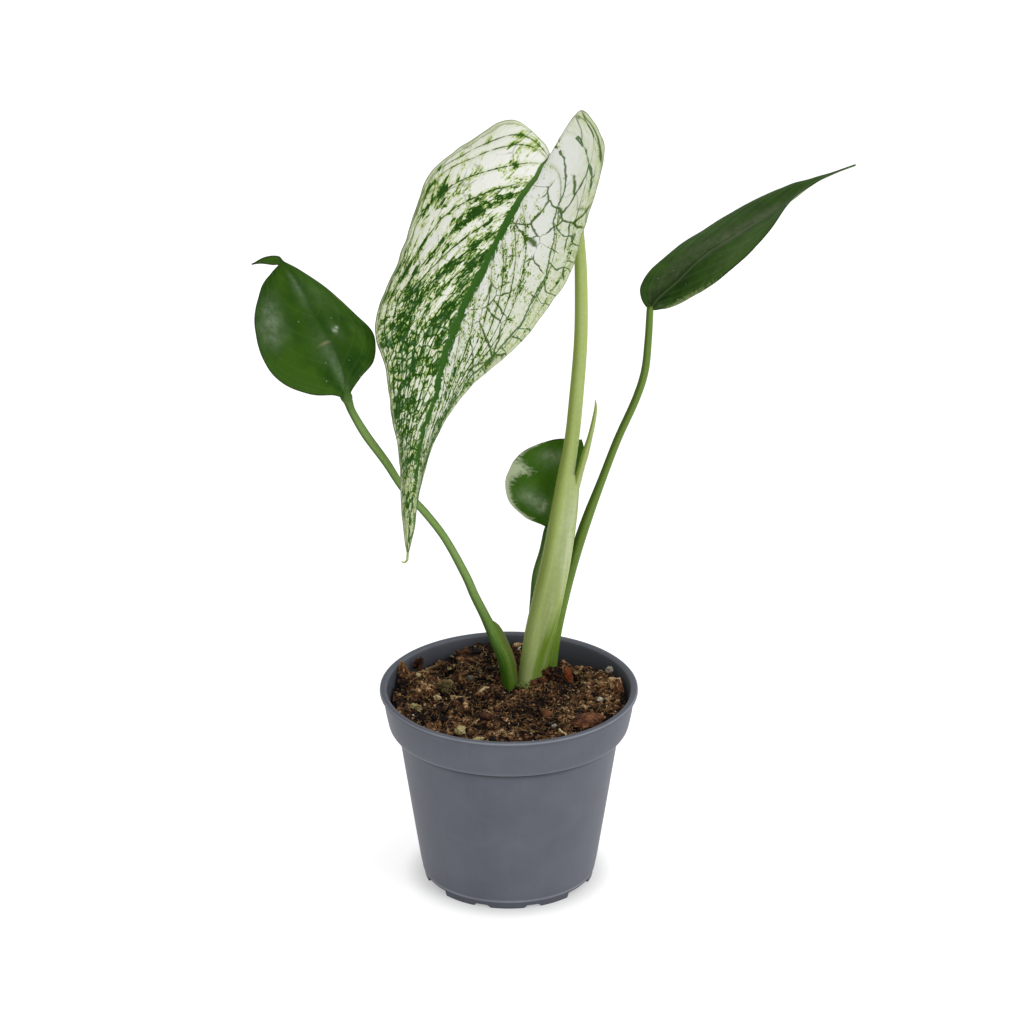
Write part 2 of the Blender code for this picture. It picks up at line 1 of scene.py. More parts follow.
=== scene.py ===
"""A young variegated monstera in its grey nursery pot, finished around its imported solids.

Sizes and places are in millimetres and turn to metres as each mesh is made. The plant faces -Y, +X is to
its right as it is looked at, and the pot stands on the ground at z = 0.
"""

import math
from functools import partial

import bmesh
import bpy
import numpy as np
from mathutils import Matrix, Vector


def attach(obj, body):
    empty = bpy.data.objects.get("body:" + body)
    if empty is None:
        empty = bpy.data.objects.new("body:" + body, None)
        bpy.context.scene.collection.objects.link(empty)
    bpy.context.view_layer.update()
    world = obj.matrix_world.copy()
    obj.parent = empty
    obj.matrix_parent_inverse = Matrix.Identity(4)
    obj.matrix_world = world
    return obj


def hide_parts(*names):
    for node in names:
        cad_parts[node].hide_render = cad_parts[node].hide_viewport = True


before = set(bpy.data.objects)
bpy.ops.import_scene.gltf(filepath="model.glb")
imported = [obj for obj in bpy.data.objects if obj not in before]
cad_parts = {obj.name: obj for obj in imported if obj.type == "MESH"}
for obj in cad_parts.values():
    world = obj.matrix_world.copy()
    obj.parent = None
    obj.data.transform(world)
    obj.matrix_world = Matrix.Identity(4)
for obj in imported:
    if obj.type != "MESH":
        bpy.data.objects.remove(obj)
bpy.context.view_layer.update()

MM = 0.001

# Pot: radii and heights of its outline
POT_HEIGHT = 48.0
RIM_RADIUS = 30.0
RIM_INNER_RADIUS = 28.4
COLLAR_TOP_RADIUS = 29.2
COLLAR_FOOT_RADIUS = 27.9
COLLAR_FOOT_HEIGHT = 38.2
BODY_TOP_RADIUS = 25.8
FOOT_RADIUS = 20.3
FLOOR_HEIGHT = 2.8
FOOT_RING = 1.6
FOOT_RECESS = 1.4
PAD_RADIUS = 5.0
POT_EDGE_HIGHLIGHTS = [  # painted highlights along edges: radius, height, reach and amount
    (29.92, 47.8, 0.16, 1.0), (28.45, 47.75, 0.14, 0.3), (20.22, 2.0, 0.2, 0.8), (27.7, 38.6, 0.25, 0.3),
]
NOTCHES = [  # in the foot ring: degrees round from the front, width and height
    (-60.0, 8.5, 1.2), (-18.5, 3.5, 0.7), (16.5, 3.5, 0.7), (57.0, 9.0, 1.2), (98.0, 3.5, 0.7),
    (133.0, 3.5, 0.7), (175.0, 8.5, 1.2), (216.0, 3.5, 0.7), (251.0, 3.5, 0.7),
]
DRAIN_COUNT = 4
DRAIN_RADIUS = 1.8
DRAIN_CIRCLE = 11.5

# Soil
SOIL_LEVEL = 43.6
HILLS = [  # place, rise and reach of each: banked up behind the stalks and against the wall, low between
    (-4.5, 23.0, 3.7, 8.0), (-24.5, 8.5, 3.0, 3.6), (23.0, 10.0, 2.3, 5.0), (15.0, 25.0, -1.4, 4.5),
    (9.0, 8.0, 1.3, 4.5), (26.0, -3.0, 0.9, 5.0),
]
SOIL_EDGE = 27.2

# Stalks: centre line and radius, from the crown up
LARGE_STALK = [
    (4.5, 10.5, 43.1, 2.6), (5.5, 11.0, 50.5, 2.65), (6.5, 12.0, 57.0, 2.6), (8.0, 13.0, 64.0, 2.55),
    (10.0, 14.0, 74.0, 2.35), (11.5, 15.0, 83.5, 2.15), (13.0, 16.5, 93.0, 1.95), (14.5, 17.5, 102.5, 1.7),
    (15.5, 18.5, 112.5, 1.65), (16.5, 19.5, 127.0, 1.55), (16.5, 20.0, 141.5, 1.45), (16.0, 20.5, 151.0, 1.3),
    (15.0, 21.0, 160.5, 1.2), (12.8, 19.9, 167.8, 1.15), (9.8, 16.9, 172.0, 0.95),
]
LARGE_SHEATH = [
    (7.4, 10.5, 46.0, 1.6), (8.2, 10.5, 52.0, 1.65), (9.5, 10.4, 57.5, 1.65), (11.1, 11.0, 65.0, 1.65),
    (13.0, 12.5, 74.5, 1.55), (14.5, 14.0, 84.0, 1.35), (15.3, 15.0, 91.0, 1.1), (15.9, 15.8, 95.0, 0.9),
]
NEW_LEAF = [
    (16.8, 15.9, 96.6, 0.8), (17.7, 15.9, 100.0, 0.8), (18.7, 15.8, 104.0, 0.6), (19.5, 15.5, 108.0, 0.5),
    (20.0, 15.4, 111.5, 0.35), (19.9, 15.2, 113.6, 0.12),
]
RIGHT_STALK = [
    (9.2, 14.6, 42.2, 1.8), (10.3, 14.7, 53.0, 1.75), (12.4, 15.3, 63.0, 1.55), (15.0, 15.8, 73.0, 1.35),
    (18.0, 15.0, 83.5, 1.2), (21.5, 13.5, 94.5, 0.95), (25.0, 11.5, 105.5, 0.9), (29.0, 10.0, 116.0, 0.9),
    (31.0, 9.0, 123.5, 0.9), (31.7, 8.5, 131.5, 0.85), (32.0, 8.1, 138.6, 0.8),
]
LEFT_STALK = [
    (0.3, 9.1, 41.5, 1.5), (-1.0, 7.3, 51.0, 1.55), (-3.0, 6.0, 57.0, 1.45), (-5.5, 5.0, 63.5, 1.15),
    (-8.0, 4.0, 69.5, 1.05), (-10.0, 3.0, 75.0, 1.0), (-14.5, 2.0, 84.5, 0.9), (-19.0, 1.0, 91.5, 0.9),
    (-24.0, 0.0, 98.0, 0.85), (-28.0, -0.5, 105.0, 0.95), (-32.5, -1.0, 112.0, 1.0),
    (-35.4, -1.4, 117.6, 0.9), (-36.3, -1.3, 120.1, 0.85),
]
LEFT_SHEATH = [
    (0.9, 8.6, 46.5, 1.2), (0.4, 7.9, 50.5, 1.25), (-1.0, 7.0, 56.0, 1.15), (-3.0, 6.0, 60.5, 0.95),
    (-4.1, 5.5, 62.8, 0.55),
]
SMALL_STALK = [
    (5.9, 17.4, 42.3, 1.15), (5.5, 17.5, 52.0, 1.15), (6.0, 18.7, 61.5, 1.05), (6.5, 19.7, 67.5, 1.0),
    (8.0, 20.9, 73.0, 0.9), (8.9, 21.6, 77.6, 0.85),
]

# Blades: midrib, then left and right margins, each from the stalk's end round to the tip
LARGE_MIDRIB = [
    (9.5, 16.0, 172.5), (9.0, 16.0, 172.3), (8.5, 15.8, 171.7), (7.5, 15.0, 171.0), (6.0, 13.5, 168.5),
    (3.0, 10.5, 165.5), (-1.0, 6.5, 159.5), (-5.5, 2.5, 151.5), (-10.5, -1.5, 142.5), (-14.0, -5.0, 133.5),
    (-16.5, -7.5, 124.0), (-19.5, -9.0, 115.5), (-21.0, -10.0, 105.0), (-22.5, -11.0, 95.0),
    (-23.0, -11.0, 86.0),
]
LARGE_LEFT = [
    (9.5, 16.0, 172.5), (7.5, 18.0, 176.0), (0.5, 19.0, 180.5), (-8.5, 17.0, 176.5), (-17.5, 14.0, 170.0),
    (-21.0, 10.5, 162.0), (-25.0, 6.0, 151.5), (-29.0, 2.0, 143.0), (-30.0, -1.0, 136.5),
    (-27.5, -4.0, 128.0), (-26.5, -6.5, 119.0), (-25.0, -8.0, 112.5), (-24.5, -9.5, 103.0),
    (-24.0, -10.5, 92.5), (-23.0, -11.0, 86.0),
]
LARGE_RIGHT = [
    (9.5, 16.0, 172.5), (11.5, 18.0, 176.0), (16.5, 20.0, 182.5), (21.5, 21.0, 174.5), (20.5, 20.0, 165.5),
    (17.0, 17.0, 155.0), (14.5, 14.0, 146.5), (9.0, 9.0, 139.0), (1.5, 3.5, 131.5), (-8.0, -1.5, 124.5),
    (-13.5, -5.0, 118.5), (-17.5, -7.5, 111.0), (-20.0, -9.5, 102.0), (-21.5, -10.5, 92.5),
    (-23.0, -11.0, 86.0),
]
LEFT_MIDRIB = [
    (-36.5, -2.0, 120.5), (-37.0, -2.0, 121.5), (-37.0, -2.0, 123.0), (-37.5, -1.0, 127.0),
    (-39.5, 0.5, 132.0), (-42.5, 2.5, 137.0), (-45.5, 4.5, 142.0), (-48.5, 6.5, 147.0), (-50.5, 7.5, 149.5),
    (-51.5, 8.0, 150.7), (-53.5, 7.5, 151.0), (-56.0, 7.0, 151.0), (-58.0, 6.5, 150.5),
]
LEFT_LEFT = [
    (-36.5, -2.0, 120.5), (-37.5, -2.5, 121.5), (-39.5, -3.0, 122.5), (-45.0, -2.5, 122.5),
    (-52.0, -0.5, 125.0), (-56.0, 1.5, 130.5), (-57.5, 4.5, 137.5), (-56.0, 7.0, 144.5),
    (-53.5, 8.0, 148.0), (-52.0, 8.0, 149.7), (-53.5, 7.5, 150.0), (-56.0, 7.0, 150.5), (-58.0, 6.5, 150.5),
]
LEFT_RIGHT = [
    (-36.5, -2.0, 120.5), (-36.0, -1.5, 121.0), (-35.5, -1.5, 123.0), (-33.5, -1.0, 126.0),
    (-30.5, 0.5, 129.5), (-30.5, 3.0, 135.0), (-35.0, 5.0, 139.5), (-41.0, 7.0, 144.5), (-47.0, 8.0, 148.5),
    (-50.5, 8.0, 150.5), (-52.0, 8.0, 152.0), (-55.0, 7.3, 152.0), (-58.0, 6.5, 150.5),
]
RIGHT_MIDRIB = [
    (32.0, 8.0, 139.0), (32.0, 8.0, 139.5), (32.5, 8.0, 140.0), (34.0, 8.0, 142.0), (38.0, 8.5, 145.5),
    (44.0, 9.0, 151.5), (51.5, 9.5, 156.5), (58.5, 10.0, 161.0), (64.5, 10.5, 165.5), (68.5, 11.0, 168.5),
    (72.5, 11.5, 170.5), (78.0, 12.0, 172.5),
]
RIGHT_BACK = [
    (32.0, 8.0, 139.0), (31.0, 8.5, 139.5), (30.0, 10.0, 141.0), (30.0, 12.5, 143.0), (32.5, 15.5, 146.0),
    (38.5, 18.0, 150.5), (47.0, 19.0, 156.0), (55.5, 18.5, 161.5), (63.0, 16.0, 166.0), (68.0, 13.5, 168.5),
    (72.5, 12.0, 170.5), (78.0, 12.0, 172.5),
]
RIGHT_FRONT = [
    (32.0, 8.0, 139.0), (33.0, 7.5, 139.0), (34.5, 7.0, 139.5), (36.5, 5.5, 140.5), (40.0, 3.5, 143.0),
    (46.0, 1.0, 148.0), (52.5, 0.5, 154.0), (58.5, 2.0, 160.5), (63.0, 5.5, 166.0), (68.5, 9.0, 169.0),
    (72.5, 11.0, 170.5), (78.0, 12.0, 172.5),
]
SMALL_MIDRIB = [
    (9.0, 21.5, 78.0), (9.0, 21.5, 78.5), (9.5, 21.5, 80.0), (10.5, 22.0, 83.5), (12.0, 23.0, 88.0),
    (14.0, 23.5, 93.0), (15.5, 24.0, 97.0), (17.0, 24.0, 100.0),
]
SMALL_LEFT = [
    (9.0, 21.5, 78.0), (8.2, 21.5, 79.4), (3.7, 20.6, 81.8), (-0.2, 20.0, 86.6), (-0.5, 21.0, 92.5),
    (3.5, 22.0, 98.0), (10.5, 23.0, 100.5), (17.0, 24.0, 100.0),
]
SMALL_RIGHT = [
    (9.0, 21.5, 78.0), (9.5, 22.0, 78.5), (11.0, 22.5, 80.0), (13.5, 23.0, 83.0), (16.0, 23.5, 88.0),
    (17.5, 24.0, 93.0), (17.5, 24.0, 97.5), (17.0, 24.0, 100.0),
]
# Ways a blade faces
FORWARD = (0.0, -0.86, 0.51)
UPWARD = (0.0, -0.2, 0.98)
BLADE_ENDS = (0.004, 0.997)  # first and last station on the midrib
CROWDING = 0.86  # share of a quarter turn by which the rows crowd towards the margin
VEIN_REACH = 0.35  # mm from a side vein over which its groove fades
RIB_REACH = 0.75  # mm from the midrib over which its groove and keel fade
SWELL_REACH = 1.6  # mm from a side vein to where the skin has swollen
RUN_BEFORE_START = 90.0  # mm to one unit of t for veins born before the midrib's start

# Stalks, in mm: how far the neck below the blade reaches, and the heights from which and over which a foot is
# darker
NECK_REACH = 4.0
FOOT_TOP = 70.0
FOOT_REACH = 22.0


# ---------------------------------------------------------------- shapes

def along(points, t):
    """Points of a Catmull-Rom curve through the rows of points, at each t from 0 to 1. Between rows b and c,
    with a before and d after and f from 0 to 1, a point is half of
    2 b + (c - a) f + (2 a - 5 b + 4 c - d) f^2 + (3 b - a - 3 c + d) f^3.
    """
    rows = np.asarray(points, float)
    padded = np.vstack([2 * rows[0] - rows[1], rows, 2 * rows[-1] - rows[-2]])
    place = np.clip(np.asarray(t, float), 0.0, 1.0) * (len(rows) - 1)
    index = np.minimum(place.astype(int), len(rows) - 2)
    f = (place - index)[..., None]
    a, b, c, d = (padded[index + k] for k in range(4))
    bend = (2 * a - 5 * b + 4 * c - d) * f**2 + (3 * b - a - 3 * c + d) * f**3
    return 0.5 * (2 * b + (c - a) * f + bend)


def noise(points, size, seed):
    """Smooth noise from -1 to 1: seeded random values on a lattice with cells of the given size, blended
    across each cell by 3 f^2 - 2 f^3.
    """
    cells = 32
    lattice = np.random.default_rng(seed).uniform(-1, 1, (cells, cells, cells))
    place = np.asarray(points, float) / size
    corner = np.floor(place).astype(int)
    f = place - corner
    f = f * f * (3 - 2 * f)
    total = 0.0
    for step in np.ndindex(2, 2, 2):
        weight = np.where(step, f, 1 - f).prod(axis=-1)
        i, j, k = np.moveaxis((corner + step) % cells, -1, 0)
        total = total + weight * lattice[i, j, k]
    return total


def layered_noise(points, size, seed, layers):
    """A sum of noises, each with cells half the size and half the height of the one before."""
    return sum(noise(points, size / 2**k, seed + k) / 2**k for k in range(layers))


def unit(vectors):
    """Each vector over its length."""
    length = np.linalg.norm(vectors, axis=-1, keepdims=True)
    return vectors / np.maximum(length, 1e-9)


def soil_height(x, y):
    """Height of the soil: its level, a ripple 0.35 sin(0.45 x + 0.3) cos(0.38 y), and for each row of HILLS
    a hill h exp(-d^2 / 2 w^2) with rise h, reach w and d the distance from its place.
    """
    height = SOIL_LEVEL + 0.35 * np.sin(0.45 * x + 0.3) * np.cos(0.38 * y)
    for across, back, rise, reach in HILLS:
        height = height + rise * np.exp(-((x - across) ** 2 + (y - back) ** 2) / (2 * reach**2))
    return height


def skin(rings, start, end):
    """Points and faces of a closed skin over an array of rings, with a fan to one point at each end."""
    count, sides = rings.shape[:2]
    index = np.arange(count * sides).reshape(count, sides)
    near, far = index[:-1], index[1:]
    quads = np.stack([near, np.roll(near, -1, 1), np.roll(far, -1, 1), far], -1).reshape(-1, 4)
    first = np.full(sides, count * sides)
    opening = np.stack([first, np.roll(index[0], -1), index[0]], -1)
    closing = np.stack([first + 1, index[-1], np.roll(index[-1], -1)], -1)
    points = np.vstack([rings.reshape(-1, 3), start, end])
    return points, [quads, np.concatenate([opening, closing])]


def volume(points, faces):
    """Six times the volume inside the faces: above zero if they face outwards."""
    total = 0.0
    for group in faces:
        for k in range(1, group.shape[1] - 1):
            a, b, c = (points[group[:, i]] for i in (0, k, k + 1))
            total += np.einsum("ij,ij->", a, np.cross(b, c))
    return total


def make_piece(name, form, finish, nodes=(), sharp=50.0):
    """One finished piece: its mesh, its marks as attributes of its points, and where it belongs. The form is
    points, faces and marks; edges that turn by more than sharp degrees stay sharp.
    """
    points, faces, marks = form
    if volume(points, faces) < 0:
        faces = [group[:, ::-1] for group in faces]
    mesh = bpy.data.meshes.new(name)
    mesh.from_pydata(points * MM, [], [face for group in faces for face in group.tolist()])
    mesh.validate()
    for mark, values in marks.items():
        values = np.asarray(values, np.float32)
        kind, field = ("FLOAT", "value") if values.ndim == 1 else ("FLOAT_VECTOR", "vector")
        mesh.attributes.new(mark, kind, "POINT").data.foreach_set(field, values.ravel())
    mesh.shade_smooth()
    mesh.set_sharp_from_angle(angle=math.radians(sharp))
    mesh.materials.append(finish)
    piece = bpy.data.objects.new(name, mesh)
    bpy.context.scene.collection.objects.link(piece)
    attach(piece, "root")
    if nodes:
        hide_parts(*nodes)
    return piece


# ---------------------------------------------------------------- finishes

def paint(code):
    """A linear colour from an sRGB hex value."""
    part = np.array([int(code[k : k + 2], 16) for k in (1, 3, 5)]) / 255
    linear = np.where(part <= 0.04045, part / 12.92, ((part + 0.055) / 1.055) ** 2.4)
    return (*linear.tolist(), 1.0)


# Which setting of a node the word after its kind is given to
MODES = {
    "Math": "operation", "VectorMath": "operation", "Mix": "data_type", "MapRange": "interpolation_type",
    "TexVoronoi": "feature",
}


def add(tree, kind, *values, out=None, stops=(), **named):
    """Adds a node and gives back one output, the first in use unless out says which. The mode it works in
    may follow its kind. Values and links go into the sockets in use in order, then come sockets by name,
    with a capital, and settings. A value that is text is a colour.
    """
    kind, _, mode = kind.partition(" ")
    made = tree.nodes.new("ShaderNode" + kind)
    if mode:
        setattr(made, MODES[kind], mode)
    for key, value in named.items():
        if key[0].islower():
            setattr(made, key, value)
    for number, (place, colour) in enumerate(stops):
        ramp = made.color_ramp.elements
        stop = ramp[number] if number < len(ramp) else ramp.new(place)
        stop.position = place
        stop.color = paint(colour)
    inputs = list(zip((socket for socket in made.inputs if socket.enabled), values))
    inputs += [(made.inputs[key], value) for key, value in named.items() if key[0].isupper()]
    for socket, value in inputs:
        if isinstance(value, bpy.types.NodeSocket):
            tree.links.new(value, socket)
        else:
            socket.default_value = paint(value) if isinstance(value, str) else value
    return next(socket for socket in made.outputs if socket.enabled) if out is None else made.outputs[out]


def new_finish(name, **sockets):
    """A material with the constant sockets of its Principled shader set, and what adds nodes to it."""
    made = bpy.data.materials.new(name)
    made.use_nodes = True
    for key, value in sockets.items():
        made.node_tree.nodes["Principled BSDF"].inputs[key.replace("_", " ")].default_value = value
    return made, partial(add, made.node_tree)


def finished(finish, **outputs):
    """The finish, once the outputs given are linked to its shader."""
    tree = finish.node_tree
    for key, output in outputs.items():
        tree.links.new(output, tree.nodes["Principled BSDF"].inputs[key.replace("_", " ")])
    return finish


def variegated_finish():
    """Variegated monstera blade: living leaf with white sectors that hold no chlorophyll, and a thin waxy
    skin. The eye gets ivory white with green flecks streaked along the veins, each fleck yellow-green at its
    edge, dark veins in a net, a dark midrib band and a pale yellow-green edge.
    """
    finish, node = new_finish("variegated_monstera_leaf", Specular_IOR_Level=0.05, IOR=1.42)
    names = (
        "rib", "out", "rim", "birth", "run", "phase", "spacing", "cover", "band", "back", "vein", "right",
        "net", "tint", "low", "inner",
    )
    mark = {name: node("Attribute", attribute_name=name, out=2) for name in names}
    # Flecks 1.6 mm long and 1.2 mm across, with finer grains in them, laid along the veins; blocks of 1.4 by
    # 1 mm between the finest veins; and, further down, specks of 0.9 mm and drifts of 6 mm
    far = node("Math MULTIPLY", mark["right"], 40.0)
    long = node("Math MULTIPLY", mark["run"], 0.62)
    wide = node("Math MULTIPLY", mark["birth"], 0.85)
    grain = node("CombineXYZ", long, wide, far)
    streak = node("TexNoise", grain, Scale=1.0, Detail=5.0, Roughness=0.68, Distortion=0.4)
    block = node("TexVoronoi", grain, Scale=1.15, out=1)
    crack = node("TexVoronoi DISTANCE_TO_EDGE", grain, Scale=1.05)
    # Towards the tip the flecks run beside the midrib: 2.1 mm long and 1.3 mm across
    down = node("Math MULTIPLY", mark["rib"], 0.47)
    apart = node("Math MULTIPLY", mark["out"], 0.8)
    low_grain = node("CombineXYZ", down, apart, far)
    low_streak = node("TexNoise", low_grain, Scale=1.0, Detail=5.0, Roughness=0.66, Distortion=0.5)
    low_block = node("TexVoronoi", low_grain, Scale=1.1, out=1)
    low_crack = node("TexVoronoi DISTANCE_TO_EDGE", low_grain, Scale=1.1)
    crack = node("Mix", mark["low"], crack, low_crack)
    streak = node("Mix", mark["low"], streak, low_streak)
    block = node("Mix RGBA", mark["low"], block, low_block)
    flat = node("CombineXYZ", mark["rib"], mark["out"], far)
    speck = node("TexNoise", flat, Scale=1.1, Detail=4.0, Roughness=0.65)
    drift = node("TexNoise", flat, Scale=0.16, Detail=1.0)
    # Side veins: millimetres from the nearest one
    turn = node("Math PINGPONG", mark["phase"], 0.5)
    gap = node("Math MULTIPLY", turn, mark["spacing"])
    wobble = node("Math MULTIPLY_ADD", speck, 0.5, -0.25)
    gap = node("Math ADD", gap, wobble)
    gap = node("Math ABSOLUTE", gap)
    beside = node("MapRange SMOOTHSTEP", gap, 1.5, 0.1, 0.0, 0.5)
    beside = node("Math MULTIPLY", beside, drift)
    higher = node("Math SUBTRACT", 1.0, mark["low"])
    beside = node("Math MULTIPLY", beside, higher)
    width = node("MapRange", streak, 0.35, 0.65, -0.06, 0.22)
    width = node("Math MULTIPLY", width, mark["vein"])
    edge = node("Math ADD", width, 0.13)
    line = node("MapRange SMOOTHSTEP", gap, edge, width)
    strong = node("MapRange", mark["vein"], 0.0, 0.6)
    line = node("Math MULTIPLY", line, strong, use_clamp=True)
    # Net of the finest veins: cells of 4.5 mm in the left half and 6 mm in the right, bent by up to 1 mm
    coarser = node("MapRange", mark["right"], 0.0, 1.0, 1.0, 0.72)
    bent = node("VectorMath SCALE", flat, Scale=coarser)
    warp = node("TexNoise", flat, Scale=0.45, Detail=2.0, out=1)
    bent = node("VectorMath MULTIPLY_ADD", warp, (1.1, 1.1, 0.0), bent)
    net = node("TexVoronoi DISTANCE_TO_EDGE", bent, Scale=0.22, Randomness=1.0)
    net = node("Math MULTIPLY_ADD", speck, 0.06, net)
    faint = node("MapRange", drift, 0.36, 0.54, 0.06, 0.0)
    net = node("Math ADD", net, faint)
    net = node("MapRange SMOOTHSTEP", net, 0.08, 0.04)
    net = node("Math MULTIPLY", net, mark["net"])
    # How green: cover and three grains, more beside the veins and between white islands of 1.1 by 1.5 mm
    crack = node("Math MULTIPLY_ADD", speck, 0.2, crack)
    crack = node("MapRange SMOOTHSTEP", crack, 0.25, 0.1, 0.0, 1.1)
    crack = node("Math MULTIPLY", crack, mark["cover"])
    green = node("Math MULTIPLY_ADD", streak, 1.35, mark["cover"])
    green = node("Math ADD", green, crack)
    specked = node("MapRange", mark["right"], 0.0, 1.0, 1.2, 1.65)
    drifted = node("MapRange", mark["right"], 0.0, 1.0, 0.7, 0.25)
    grit = node("TexNoise", flat, Scale=2.4, Detail=2.0, Roughness=0.6)
    grit = node("Math ADD", grit, -0.5)
    gritty = node("MapRange", mark["right"], 0.0, 1.0, 0.5, 1.3)
    green = node("Math MULTIPLY_ADD", grit, gritty, green)
    green = node("Math MULTIPLY_ADD", speck, specked, green)
    green = node("Math MULTIPLY_ADD", drift, drifted, green)
    green = node("Math MULTIPLY_ADD", block, 0.7, green)
    green = node("Math ADD", green, beside)
    green = node("Math MULTIPLY_ADD", net, 0.2, green)
    share = node("MapRange", green, 2.02, 3.02)
    leaf_stops = [
        (0.0, "#F1F2EC"), (0.24, "#E9EBDD"), (0.34, "#CBD5A0"), (0.45, "#9FB55F"), (0.53, "#567D2B"),
        (0.61, "#2F5918"), (0.78, "#224610"),
    ]
    colour = node("ValToRGB", share, stops=leaf_stops)
    # Grey-green in drifts of 2.5 mm, where green lies under a white skin
    milky = node("TexNoise", flat, Scale=0.4, Detail=3.0, Roughness=0.6)
    milky = node("MapRange", milky, 0.47, 0.62, 0.0, 0.9)
    most = node("MapRange", mark["low"], 0.0, 1.0, 0.2, 0.8)
    milky = node("Math MULTIPLY", milky, most)
    milky_stops = [
        (0.0, "#EFF0EB"), (0.3, "#DCE3CF"), (0.42, "#B0C19C"), (0.55, "#7D9A73"), (0.7, "#56794E"),
        (0.85, "#3A6136"),
    ]
    dull = node("ValToRGB", share, stops=milky_stops)
    colour = node("Mix RGBA", milky, colour, dull)
    # Yellow-green where the tint is and beside the side veins; the right half is painted a little darker, as
    # painted shade
    yellow = node("MapRange", speck, 0.35, 0.62, 0.25, 1.0)
    yellow = node("Math MULTIPLY", yellow, mark["tint"])
    near = node("MapRange SMOOTHSTEP", gap, 1.1, 0.2, 0.0, 0.3)
    yellow = node("Math MAXIMUM", yellow, near)
    tinted = node("Mix RGBA", yellow, colour, "#C3D08E")
    colour = node("Mix RGBA", 1.0, colour, tinted, blend_type="DARKEN")
    painted_shade = node("Mix RGBA", mark["right"], "#FFFFFF", "#ECEDED")
    colour = node("Mix RGBA", 1.0, colour, painted_shade, blend_type="MULTIPLY")
    netted = node("Math MULTIPLY", net, 0.95)
    colour = node("Mix RGBA", netted, colour, "#435B1E")
    # Pale edge with a thin darker rim, and the vein that runs round inside it
    pale = node("MapRange SMOOTHSTEP", mark["rim"], 1.2, 0.3, 0.0, 0.55)
    colour = node("Mix RGBA", pale, colour, "#C3CCA3")
    rim = node("MapRange SMOOTHSTEP", mark["rim"], 0.34, 0.12, 0.0, 0.75)
    colour = node("Mix RGBA", rim, colour, "#5F7040")
    wander = node("Math MULTIPLY_ADD", drift, 3.0, -1.5)
    wander = node("Math MULTIPLY_ADD", wobble, 2.4, wander)
    inner = node("Math ADD", mark["inner"], wander)
    ring = node("Math ABSOLUTE", inner)
    ring = node("MapRange SMOOTHSTEP", ring, 0.34, 0.14, 0.0, 0.9)
    sided = node("MapRange", mark["right"], 0.0, 1.0, 0.4, 1.0)
    ring = node("Math MULTIPLY", ring, sided)
    # Cross veins about 4.6 mm apart between that vein and the edge
    rung = node("Math MULTIPLY", mark["rib"], 0.217)
    rung = node("Math MULTIPLY_ADD", drift, 3.0, rung)
    rung = node("Math MULTIPLY_ADD", speck, 0.25, rung)
    rung = node("Math PINGPONG", rung, 0.5)
    rung = node("MapRange SMOOTHSTEP", rung, 0.08, 0.03, 0.0, 0.9)
    beyond = node("MapRange", inner, 0.0, 0.4, 0.0, mark["right"])
    below = node("MapRange", mark["rib"], 5.0, 14.0)
    beyond = node("Math MULTIPLY", beyond, below)
    rung = node("Math MULTIPLY", rung, beyond)
    ring = node("Math MAXIMUM", ring, rung)
    colour = node("Mix RGBA", ring, colour, "#3A5F22")
    colour = node("Mix RGBA", line, colour, "#2D4F1B")
    # Midrib band: dark green, ragged at its edges
    ragged = node("Math MULTIPLY_ADD", streak, 5.0, -2.5)
    inside = node("Math ADD", mark["band"], ragged)
    inside = node("MapRange SMOOTHSTEP", inside, -0.25, 0.2)
    deep = node("Mix RGBA", speck, "#22490F", "#46702C")
    upper = node("MapRange", mark["rib"], 14.0, 2.0, 0.0, 0.55)
    deep = node("Mix RGBA", upper, deep, "#6B8B4A")
    colour = node("Mix RGBA", inside, colour, deep)
    # The underside is paler
    under = node("Math MULTIPLY", mark["back"], 0.42)
    colour = node("Mix RGBA", under, colour, "#C6D0B2")
    rough = node("MapRange", speck, 0.3, 0.7, 0.36, 0.5)
    skin_bump = node("Math ADD", speck, streak)
    normal = node("Bump", Strength=0.35, Distance=0.00006, Height=skin_bump)
    return finished(finish, Base_Color=colour, Roughness=rough, Normal=normal)


